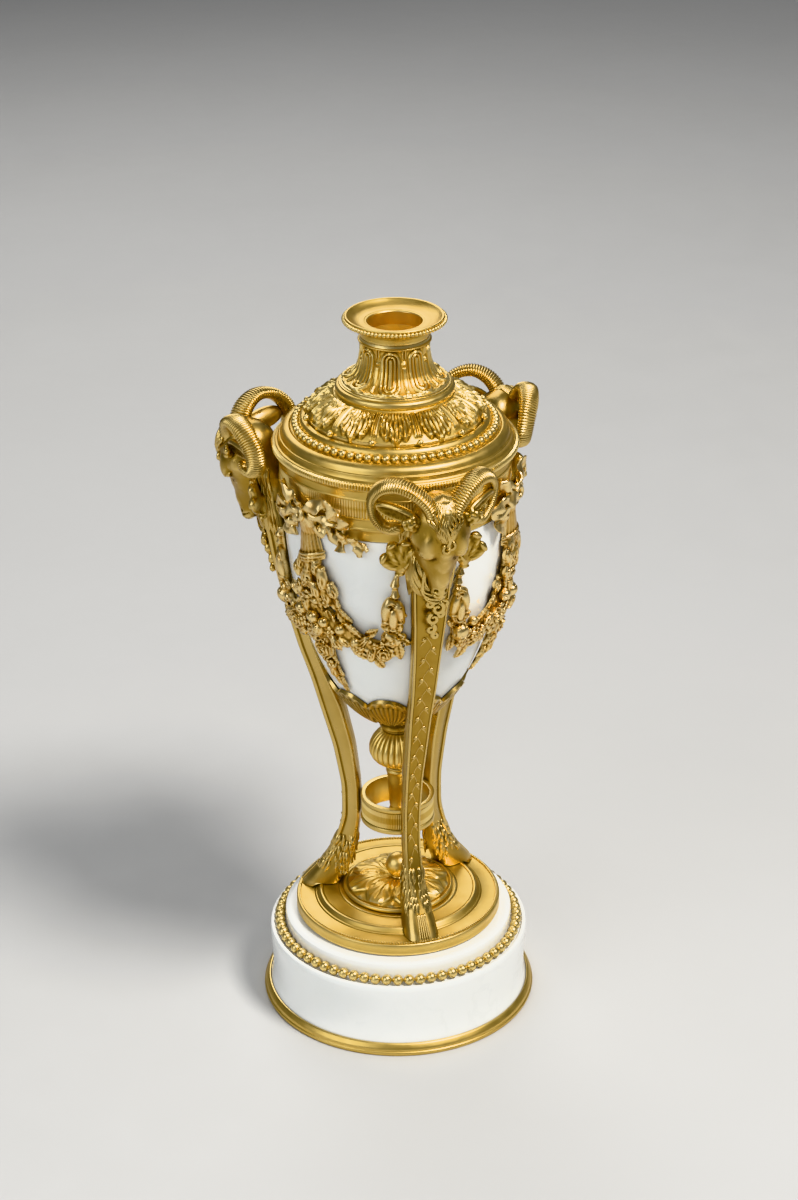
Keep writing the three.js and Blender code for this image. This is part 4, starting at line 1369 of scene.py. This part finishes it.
# one garland on a flat panel, sideways u, height v and stand-off w, then bent onto the wall
garlandSet = {
    "cell": 0.38, "thrift": 0.15, "bendRadius": 43.0, "shift": 1.1, "stand": 0.55, "seed": 21,
    "low": (-40, 130, -1.5), "high": (40, 213, 8.5), "berries": 8, "smallBuds": 13, "smallBlossoms": 7,
    "stalks": 9, "ties": ((0.0, 0.62), (1.25, 0.55), (-1.2, 0.5)), "loose": 8,
    "vines": [
        [(-3.2, 209, 0.4, 2.2), (-1.6, 195, 0.4, 3.2), (-1.0, 186, 0.2, 3.6), (-1.0, 176, 0.2, 4.6),
         (-0.6, 166, 0.2, 4.8), (0.0, 157, 0.2, 3.6), (0.6, 148, 0.2, 2.4), (2.4, 139.5, 0.2, 0.9)],
        [(3, 172, 0.2, 4.2), (10, 166.8, 0.2, 4.4), (18, 163.0, 0.2, 4.3), (26, 161.4, 0.2, 3.9),
         (31.4, 165.4, 0.2, 3.2), (32.0, 174, 0.2, 2.4), (31.8, 184, 0.2, 1.4), (32.6, 192.5, 0.4, 0.9)],
        [(-4, 172, 0.2, 4.2), (-11, 166.8, 0.2, 4.4), (-19, 163.2, 0.2, 4.2), (-27, 161.6, 0.2, 3.9),
         (-32.0, 166.4, 0.2, 3.2), (-33.4, 175, 0.2, 2.2), (-33.6, 184, 0.2, 1.5), (-32.8, 192.5, 0.4, 0.9)],
    ],
    # place, angle from +u, length and width
    "leaves": [
        (7.8, 178.5, 1.6, -65, 10, 4.2), (11.2, 173.2, 1.6, -35, 8.5, 4.0),
        (14.8, 168.2, 3.0, -33, 10, 5.2), (17.2, 159.2, 2.2, -33, 11, 3.6),
        (25.2, 155.4, 1.8, -52, 6.5, 3.8), (33.4, 161.0, 2.0, -80, 8.5, 4.2),
        (30.0, 172.8, 2.6, 18, 8.0, 4.4), (22.4, 168.4, 1.8, 28, 6.5, 3.2), (36.4, 164.6, 1.2, -35, 5, 2.8),
        (20.5, 157.6, 1.4, -70, 5.5, 3.0), (-9.6, 176.4, 1.6, -115, 9, 4.2),
        (-12.6, 171.4, 1.8, -140, 8.5, 4.2), (-20.8, 168.0, 2.6, -152, 9.5, 4.6),
        (-21.4, 158.8, 1.8, -158, 9.5, 3.6), (-28.6, 157.2, 2.2, -118, 8.5, 4.6),
        (-25.6, 166.0, 2.0, 160, 7.5, 3.8), (-34.6, 161.0, 1.6, -98, 7, 3.8),
        (-16.4, 158.6, 1.4, -110, 6, 3.2), (-29.4, 172.6, 1.8, 160, 6.5, 3.4),
        (-2.6, 184.6, 2.4, -98, 9.5, 4.2), (1.2, 177.4, 3.4, -68, 8.5, 4.4),
        (-5.6, 173.8, 3.2, -122, 8.5, 4.4), (6.4, 172.2, 2.8, -58, 7.5, 4.0),
        (3.6, 161.0, 2.2, -22, 7, 3.8), (-6.2, 160.4, 2.2, -160, 7, 3.8), (2.2, 153.4, 2.2, -62, 6.5, 3.6),
        (-2.2, 152.4, 2.0, -118, 6.5, 3.6), (3.0, 147.4, 1.6, -66, 6, 3.2),
        (-0.9, 146.4, 1.5, -112, 6, 3.0), (2.8, 142.2, 1.4, -78, 6, 3.0), (0.8, 141.6, 1.3, -100, 5.5, 2.8),
        (2.6, 138.6, 1.0, -85, 5, 2.0),
    ],
    "buds": [
        (-7.7, 188.2, 2.8, 105, 5.4, 3.8), (4.6, 187.4, 3.0, -84, 10.5, 4.2),
        (-7.2, 181.2, 3.2, 105, 5.2, 3.6), (-12.6, 178.4, 2.2, 120, 5, 3.4),
        (0.9, 166.8, 4.4, 60, 6.4, 5.0), (8.0, 162.4, 3.4, -60, 5.8, 4.4),
        (-1.2, 190.6, 3.0, -95, 7.5, 3.6), (1.4, 182.6, 3.4, -80, 6.4, 3.8),
        (-3.8, 186.4, 3.2, -105, 6.4, 3.4), (5.2, 181.0, 2.6, -70, 6.0, 3.6),
        (12.0, 163.6, 3.4, -20, 5.4, 3.6), (-17.6, 166.8, 3.4, 200, 5.4, 3.8),
        (-11.8, 160.8, 3.0, 220, 5.2, 3.6), (-5.4, 191.4, 2.4, -100, 7.0, 4.2),
        (2.0, 191.0, 2.6, -82, 6.6, 4.2), (-2.0, 186.8, 3.2, -92, 7.4, 4.6),
        (8.0, 183.6, 2.2, -66, 6.4, 4.2),
    ],
    "pods": [
        (29.0, 178.6, 2.0, -98, 10.4, 4.9), (33.3, 178.2, 2.2, -83, 9.6, 4.7),
        (31.2, 175.6, 3.4, -90, 9.4, 3.6), (-31.5, 178.8, 2.1, -82, 9.8, 4.7),
        (-35.4, 178.2, 1.9, -98, 9.2, 4.5), (-33.4, 175.4, 3.2, -90, 9.2, 3.5),
    ],
    # place and radius
    "roses": [
        (0.0, 157.4, 3.2, 4.2), (-12.8, 165.6, 3.6, 4.0), (27.2, 160.8, 3.0, 3.6), (-22.6, 163.0, 3.2, 3.4),
    ],
    "blossoms": [
        (-8.8, 167.4, 3.8, 3.0), (-3.6, 163.4, 4.0, 2.8), (-2.0, 179.2, 4.0, 2.7), (32.4, 170.2, 2.6, 2.4),
        (20.4, 164.8, 3.0, 2.6), (-27.4, 161.8, 2.8, 2.7), (-34.0, 172.2, 2.2, 2.3),
        (-6.0, 177.6, 3.4, 2.4), (4.8, 178.6, 3.2, 2.3), (0.6, 150.2, 2.6, 2.8), (0.9, 145.0, 2.0, 2.3),
        (23.6, 162.8, 2.6, 2.2), (-17.2, 161.4, 2.8, 2.5), (5.4, 166.6, 3.8, 2.6),
    ],
    "fruits": [
        (-32.2, 166.8, 3.2, 3.2), (34.8, 167.8, 2.0, 1.5), (-7.4, 172.6, 3.9, 2.3), (10.2, 168.6, 3.0, 2.2),
        (-25.4, 168.6, 2.2, 2.0), (-0.6, 171.6, 4.6, 2.4), (3.8, 170.4, 4.2, 2.0), (16.2, 164.2, 3.0, 2.1),
        (-30.2, 163.0, 2.6, 2.0), (30.6, 166.4, 2.6, 2.0),
    ],
    "bells": [
        [(32.6, 192.6), (31.8, 188.2), (31.9, 184.0)],
        [(-33.0, 192.6), (-33.6, 189.8), (-34.2, 186.4), (-34.4, 182.8)],
    ],
}
plainGarland = dict(garlandSet, cell=0.46, thrift=0.2)


def bentOnWall(shell, d):
    p, q, t = shell
    u, v, w = p.T
    top = urnShape["top"]
    z = np.linspace(120, 230, 441)
    # the wall with the steps of the collar eased
    soft = np.where(z < top, wallAt(np.minimum(z, top - 0.1)), np.interp(z, [top, 209], [39.9, 41.3]))
    r = np.interp(v, z, soft) + d["stand"] + w
    return around(r, (u + d["shift"]) / d["bendRadius"], v), q, t


def shifted(place, a, along, across=0.0, up=0.0):
    # a place moved along and across a direction on the panel, and up from it
    u, v, w = place
    c, s = math.cos(a), math.sin(a)
    return u + c * along - s * across, v + s * along + c * across, w + up


def layFlat(clay, place, half, a, tilt=0.0, soft=0.25):
    # a lump lying on the panel, its length turned by a and its tip lifted by tilt
    along = (math.cos(a) * math.cos(tilt), math.sin(a) * math.cos(tilt), math.sin(tilt))
    clay.lump(place, half, soft, axesOf(along, (0, 0, 1)))


def leafOn(clay, place, angle, length, wide):
    a = math.radians(angle)
    reach = length / 2 + 1
    u, v, w = place
    part, (x, y, z) = clay.window((u - reach, v - reach, w - 3), (u + reach, v + reach, w + 3))
    along = (x - u) * math.cos(a) + (y - v) * math.sin(a)
    across = -(x - u) * math.sin(a) + (y - v) * math.cos(a)
    t = np.clip(along / (length / 2), -1.2, 1.2)
    half = wide / 2 * np.clip(1 - t ** 2, 0, 1) ** 0.75 * (1 + 0.10 * np.cos(t * 17)) * (1 - 0.25 * t)
    edge = np.abs(across) - half
    dish = np.abs(across) / (wide / 2)
    middle = w - 0.9 * t ** 2 + 0.5 * dish ** 1.5 * 0.8
    vein = 0.34 * bump(across, 0.30) + 0.10 * np.cos(fullTurn * (t * 2.6 - dish * 0.9))
    top = z - (middle + 0.45 - vein)
    clay.put(part, np.maximum(np.maximum(edge * 0.8, top), middle - 1.1 - z), 0.2)


def budOn(clay, place, angle, length, wide):
    a = math.radians(angle)
    layFlat(clay, place, (length / 2, wide / 2, wide / 2), a, soft=0.3)
    for side in (-0.42, 0.0, 0.42):
        rim = wide / 2 * math.cos(side * 1.25)
        start = shifted(place, a, -length * 0.22, side * wide * 0.8, rim * 0.98)
        stop = shifted(place, a, length * 0.42, side * wide * 0.35, rim * 0.55)
        clay.bar(start, stop, 0.3, 0.16, 0.3, away=True)
    layFlat(clay, shifted(place, a, -length * 0.42, up=-0.2), (0.8, wide * 0.42, wide * 0.42), a)
    clay.bar(shifted(place, a, length * 0.4), shifted(place, a, length / 2 + 0.5), 0.7, 0.25, 0.3)


def podOn(clay, place, angle, length, wide):
    layFlat(clay, place, (length / 2, wide / 2, wide / 2), math.radians(angle))
    u, v, w = place
    clay.lump((u, v - length * 0.42, w), (wide * 0.5, 0.9, wide * 0.46), 0.3)


def roseOn(clay, place, size):
    u, v, w = place
    clay.lump((u, v, w - 0.6), (size, size, size * 0.55), 0.3)
    # rings of petals: share of the size, count, rise and lean
    for ring, count, rise, lean in ((0.95, 6, -0.2, 0.55), (0.66, 5, 0.45, 0.35), (0.36, 4, 0.95, 0.2)):
        for k in range(count):
            a = fullTurn * (k + ring * 3.1) / count
            out = np.array((math.cos(a), math.sin(a), 0))
            axes = axesOf((-out[1], out[0], 0), out * math.cos(lean) - np.array((0, 0, math.sin(lean))))
            petal = (size * 0.62 * ring + 0.35, size * 0.36, 0.42)
            clay.lump(np.array((u, v, w + rise)) + out * ring * size * 0.82, petal, 0.14, axes)
    for ring in (0.82, 0.52, 0.24):
        turn = np.linspace(0, fullTurn * 0.86, 12) + ring * 9
        far = ring * size * 0.8
        path = [(u + far * math.cos(a), v + far * math.sin(a), w + 1.35 - ring * 1.2) for a in turn]
        clay.chain(path, np.full(12, 0.26), 0.3, away=True)


def blossomOn(clay, place, size, count, turn):
    for k in range(count):
        a = fullTurn * k / count + turn
        petal = (size * 0.48, size * 0.36, 0.75)
        layFlat(clay, shifted(place, a, size * 0.58, up=-0.1), petal, a, 0.35, 0.12)
        start, stop = shifted(place, a, size * 0.3, up=0.62), shifted(place, a, size * 0.9, up=1.0)
        clay.bar(start, stop, 0.2, 0.14, 0.2, away=True)
    clay.lump(shifted(place, 0, 0, up=0.5), (size * 0.27, size * 0.27, 0.65), 0.1)


def fillGaps(clay, vine, d, rng):
    # berries, buds and small blossoms along one arm
    run = curve([(u, v) for u, v, *_ in vine[1:7]], 60)
    wide = np.interp(np.linspace(0, 1, 60), np.linspace(0, 1, 6), [size for *_, size in vine[1:7]])

    def spot(reach, lift=0.0):
        i = int(rng.integers(8, 60))
        off = rng.uniform(-reach, reach, 2) * wide[i]
        rise = math.sqrt(max(wide[i] ** 2 - off @ off, 0)) * 0.62
        return run[i][0] + off[0], run[i][1] + off[1], 1.2 + rise + lift

    for _ in range(d["berries"]):
        size = rng.uniform(0.8, 1.35)
        clay.ball(spot(1.0), size, 0.15)
    for _ in range(d["smallBuds"]):
        place = spot(0.95, 0.2)
        budOn(clay, place, rng.uniform(0, 360), rng.uniform(4.2, 6.2), rng.uniform(2.8, 3.8))
    for _ in range(d["smallBlossoms"]):
        place = spot(0.8, 0.7)
        blossomOn(clay, place, rng.uniform(2.0, 2.8), 5, rng.random() * 3)


def tieStalks(clay, d, rng):
    # grooved sheath of stalks and its ties
    for s in np.linspace(0, 1, d["stalks"]):
        bow = math.sin(math.pi * s)
        top = (-5.9 + 5.4 * s, 209.6, 0.6 + 1.3 * bow)
        foot = (-6.8 + 10.4 * s, 194.4 + 1.0 * s, 0.8 + 2.3 * bow)
        clay.bar(top, foot, 0.62, 0.95, 0.12)
    s = np.linspace(0, 1, 9)
    for rise, size in d["ties"]:
        bow = np.sin(math.pi * s) ** 0.8
        path = np.column_stack([-7.9 + 12.2 * s, 193.2 + 3.0 * s + rise, 0.6 + 3.5 * bow])
        clay.chain(path, np.full(9, size), 0.15)
    for s in np.linspace(0.06, 0.94, d["loose"]):
        top = (-6.4 + 9.6 * s, 193.6 + 1.5 * s, 0.8 + 2.3 * math.sin(math.pi * s))
        foot = (-5.2 + 8.0 * s + rng.uniform(-0.6, 0.6), 187.5 + rng.uniform(-2, 1), 1.6)
        clay.bar(top, foot, 0.75, 0.5, 0.2)


def sculptGarland(d):
    rng = np.random.default_rng(d["seed"])
    clay = Clay(d["low"], d["high"], d["cell"])
    for vine in d["vines"]:
        clay.chain([row[:3] for row in vine], [row[3] * 0.8 for row in vine], 0.6)
    for name, kind in (("leaves", leafOn), ("buds", budOn), ("pods", podOn), ("roses", roseOn)):
        for row in d[name]:
            kind(clay, row[:3], *row[3:])
    for row in d["blossoms"]:
        blossomOn(clay, row[:3], row[3], 5 + int(rng.integers(0, 2)), rng.random() * 3)
    for *place, size in d["fruits"]:
        clay.ball(place, size, 0.2)
        a = rng.random() * fullTurn
        start = shifted(place, a, size * 0.5, up=size * 0.86)
        stop = shifted(place, a, -size * 0.8, up=size * 0.5)
        clay.bar(start, stop, 0.22, 0.3, 0.3, away=True)
    for vine in d["vines"]:
        fillGaps(clay, vine, d, rng)
    for bell in d["bells"]:
        for (ua, va), (ub, vb) in zip(bell[:-1], bell[1:]):
            clay.bar((ua, va, 1.2), (ub, vb + 0.6, 1.4), 0.75, 1.65, 0.2)
            clay.lump((ub, vb + 0.3, 1.4), (1.9, 0.55, 1.9), 0.2)
            for side in (-0.7, 0.1, 0.8):
                start, stop = (ua + side * 0.3, va - 0.6, 2.1), (ub + side, vb + 1.0, 3.0)
                clay.bar(start, stop, 0.12, 0.22, 0.25, away=True)
    tieStalks(clay, d, rng)
    clay.trim(-clay.spots()[2])      # nothing behind the panel
    return clay.skin(d["thrift"])


# crinkled ribbons of the bow: run of u, v, w and the half width
bowSet = {
    "thick": 0.75, "crinkle": 0.55, "sides": 12, "ring": 0.95,
    "runs": [
        ([(-2.6, 212.2, 1.6), (1.6, 214.4, 2.8), (6.1, 217.2, 1.6), (9.4, 216.6, 3.4), (11.2, 213.8, 2.2),
          (13.9, 212.0, 3.2), (14.4, 209.0, 1.4)], 2.6),
        ([(14.4, 208.6, 1.2), (11.0, 208.6, 0.8), (6.0, 209.8, 1.0), (0.0, 210.4, 1.4)], 2.2),
        ([(-2.0, 210.2, 2.2), (1.6, 207.4, 1.2), (4.2, 206.2, 2.8), (7.4, 207.8, 1.2), (9.4, 205.2, 3.0),
          (12.0, 204.4, 1.6), (12.4, 200.2, 2.6)], 2.4),
        ([(9.0, 208.2, 0.9), (12.4, 206.6, 2.0), (14.3, 204.8, 1.2), (17.0, 205.4, 2.6), (18.4, 202.8, 1.6),
          (19.2, 199.0, 1.8)], 1.9),
        ([(17.4, 204.6, 1.8), (19.6, 203.2, 1.2), (22.4, 201.8, 1.6)], 1.4),
        ([(-4.0, 211.8, 2.0), (-7.6, 214.4, 1.4), (-11.6, 216.2, 2.4), (-15.6, 218.2, 1.4)], 2.4),
        ([(-4.6, 210.8, 2.0), (-8.6, 211.6, 3.2), (-12.4, 210.8, 1.8), (-16.2, 211.2, 3.2),
          (-17.8, 208.6, 1.6), (-14.4, 207.2, 3.0), (-10.4, 208.2, 1.6), (-5.4, 209.4, 1.8)], 2.7),
        ([(-5.0, 209.2, 1.8), (-9.2, 205.6, 1.2), (-12.2, 204.2, 2.8), (-15.0, 203.4, 1.4),
          (-13.0, 200.9, 2.4), (-10.0, 201.6, 1.2)], 2.2),
    ],
}


def makeBow(d):
    shells = []
    up = np.array((0, 0, 1))
    turn = sideAngles(d["sides"])
    for n, (run, wide) in enumerate(d["runs"]):
        count = len(run) * 12
        path = curve(run, count)
        s = np.linspace(0, 1, count)
        way = s * len(run)
        side = np.cross(unitRows(np.gradient(path, axis=0)), up)
        roll = d["crinkle"] * np.sin(way * 2.6 + n * 1.7)
        facing = up * np.cos(roll)[:, None] + side * np.sin(roll)[:, None]
        half = np.column_stack([np.full(count, d["thick"]), wide * (0.9 + 0.2 * np.cos(way * 4.2 + n))])
        half[:, 1] *= 0.6 + 0.4 * ease(s, 0, 0.15)
        # a fold down the middle of the ribbon
        fold = 0.45 * np.cos(turn)[None, :] ** 2 * np.sign(np.cos(turn))[None, :]
        fold = 1 + fold * np.sin(way * 3.4 + n)[:, None]
        shells.append(swept(path, half, facing, d["sides"], fold))
    turn = np.linspace(0, fullTurn, 25)
    ring = np.column_stack([-3.3 + 1.75 * np.cos(turn), 211.0 + 1.9 * np.sin(turn), 3.0 + 0.5 * np.cos(turn)])
    shells.append(swept(ring, np.full((25, 2), d["ring"]), up, 10))
    return shells


def makeGarlands():
    # the one at the back is meshed more plainly
    bow = makeBow(bowSet)
    fine, plain = (joinShells([sculptGarland(d)] + bow) for d in (garlandSet, plainGarland))
    for k, whole in enumerate((fine, plain, fine)):
        shell = spun(bentOnWall(whole, garlandSet), 60 + 120 * k)
        makePiece("flower_garland_%d" % (k + 1), ["garland_%d" % (k + 1)], [shell], garlandGilt, crease=50)


makeGarlands()
print("garlands done")


# floor, light and colour; lamps are name, place, size, power, colour and whether they shine in the gilding
studio = {
    "floor": (0.55, 0.55, 0.545), "floorHalf": 6, "world": (0.30, 0.31, 0.33), "worldStrength": 0.5,
    "aim": (0, 0, 0.14),
    "lamps": [
        ("key", (0.45, -0.62, 1.28), 0.40, 24.0, (1.0, 0.97, 0.92), True),
        ("fill", (-1.10, -0.55, 0.75), 1.0, 6.0, (0.95, 0.98, 1.0), True),
        ("front", (-0.50, -1.10, 0.60), 1.0, 3.0, (0.97, 0.99, 1.0), False),
        ("back", (0.05, 0.95, 0.95), 0.9, 6.0, (1.0, 0.985, 0.96), True),
    ],
}


def setStudio(d):
    finish = Finish("pale_floor")
    shade = tuple(c * 0.94 for c in d["floor"])
    finish.join(finish.mixed(finish.noise(6, 4), d["floor"], shade), "Base Color")
    finish.join(finish.mapped(finish.noise(40, 4), (0.3, 0.7), (0.55, 0.7)), "Roughness")
    far = d["floorHalf"]
    mesh = bpy.data.meshes.new("floor")
    mesh.from_pydata([(-far, -far, 0), (far, -far, 0), (far, far, 0), (-far, far, 0)], [], [(0, 1, 2, 3)])
    mesh.materials.append(finish.material)
    floor = bpy.data.objects.new("floor", mesh)
    scene.collection.objects.link(floor)
    world = bpy.data.worlds.new("studio")
    world.use_nodes = True
    back = world.node_tree.nodes["Background"]
    back.inputs["Color"].default_value = (*d["world"], 1)
    back.inputs["Strength"].default_value = d["worldStrength"]
    scene.world = world
    for name, place, size, power, colour, shines in d["lamps"]:
        lamp = bpy.data.lights.new(name, "AREA")
        lamp.shape, lamp.size, lamp.energy, lamp.color = "DISK", size, power, colour
        obj = bpy.data.objects.new(name, lamp)
        obj.location = place
        obj.visible_glossy = shines
        obj.rotation_euler = (Vector(d["aim"]) - Vector(place)).to_track_quat("-Z", "Y").to_euler()
        scene.collection.objects.link(obj)


setStudio(studio)
scene.view_settings.view_transform = "Khronos PBR Neutral"
print("studio set")
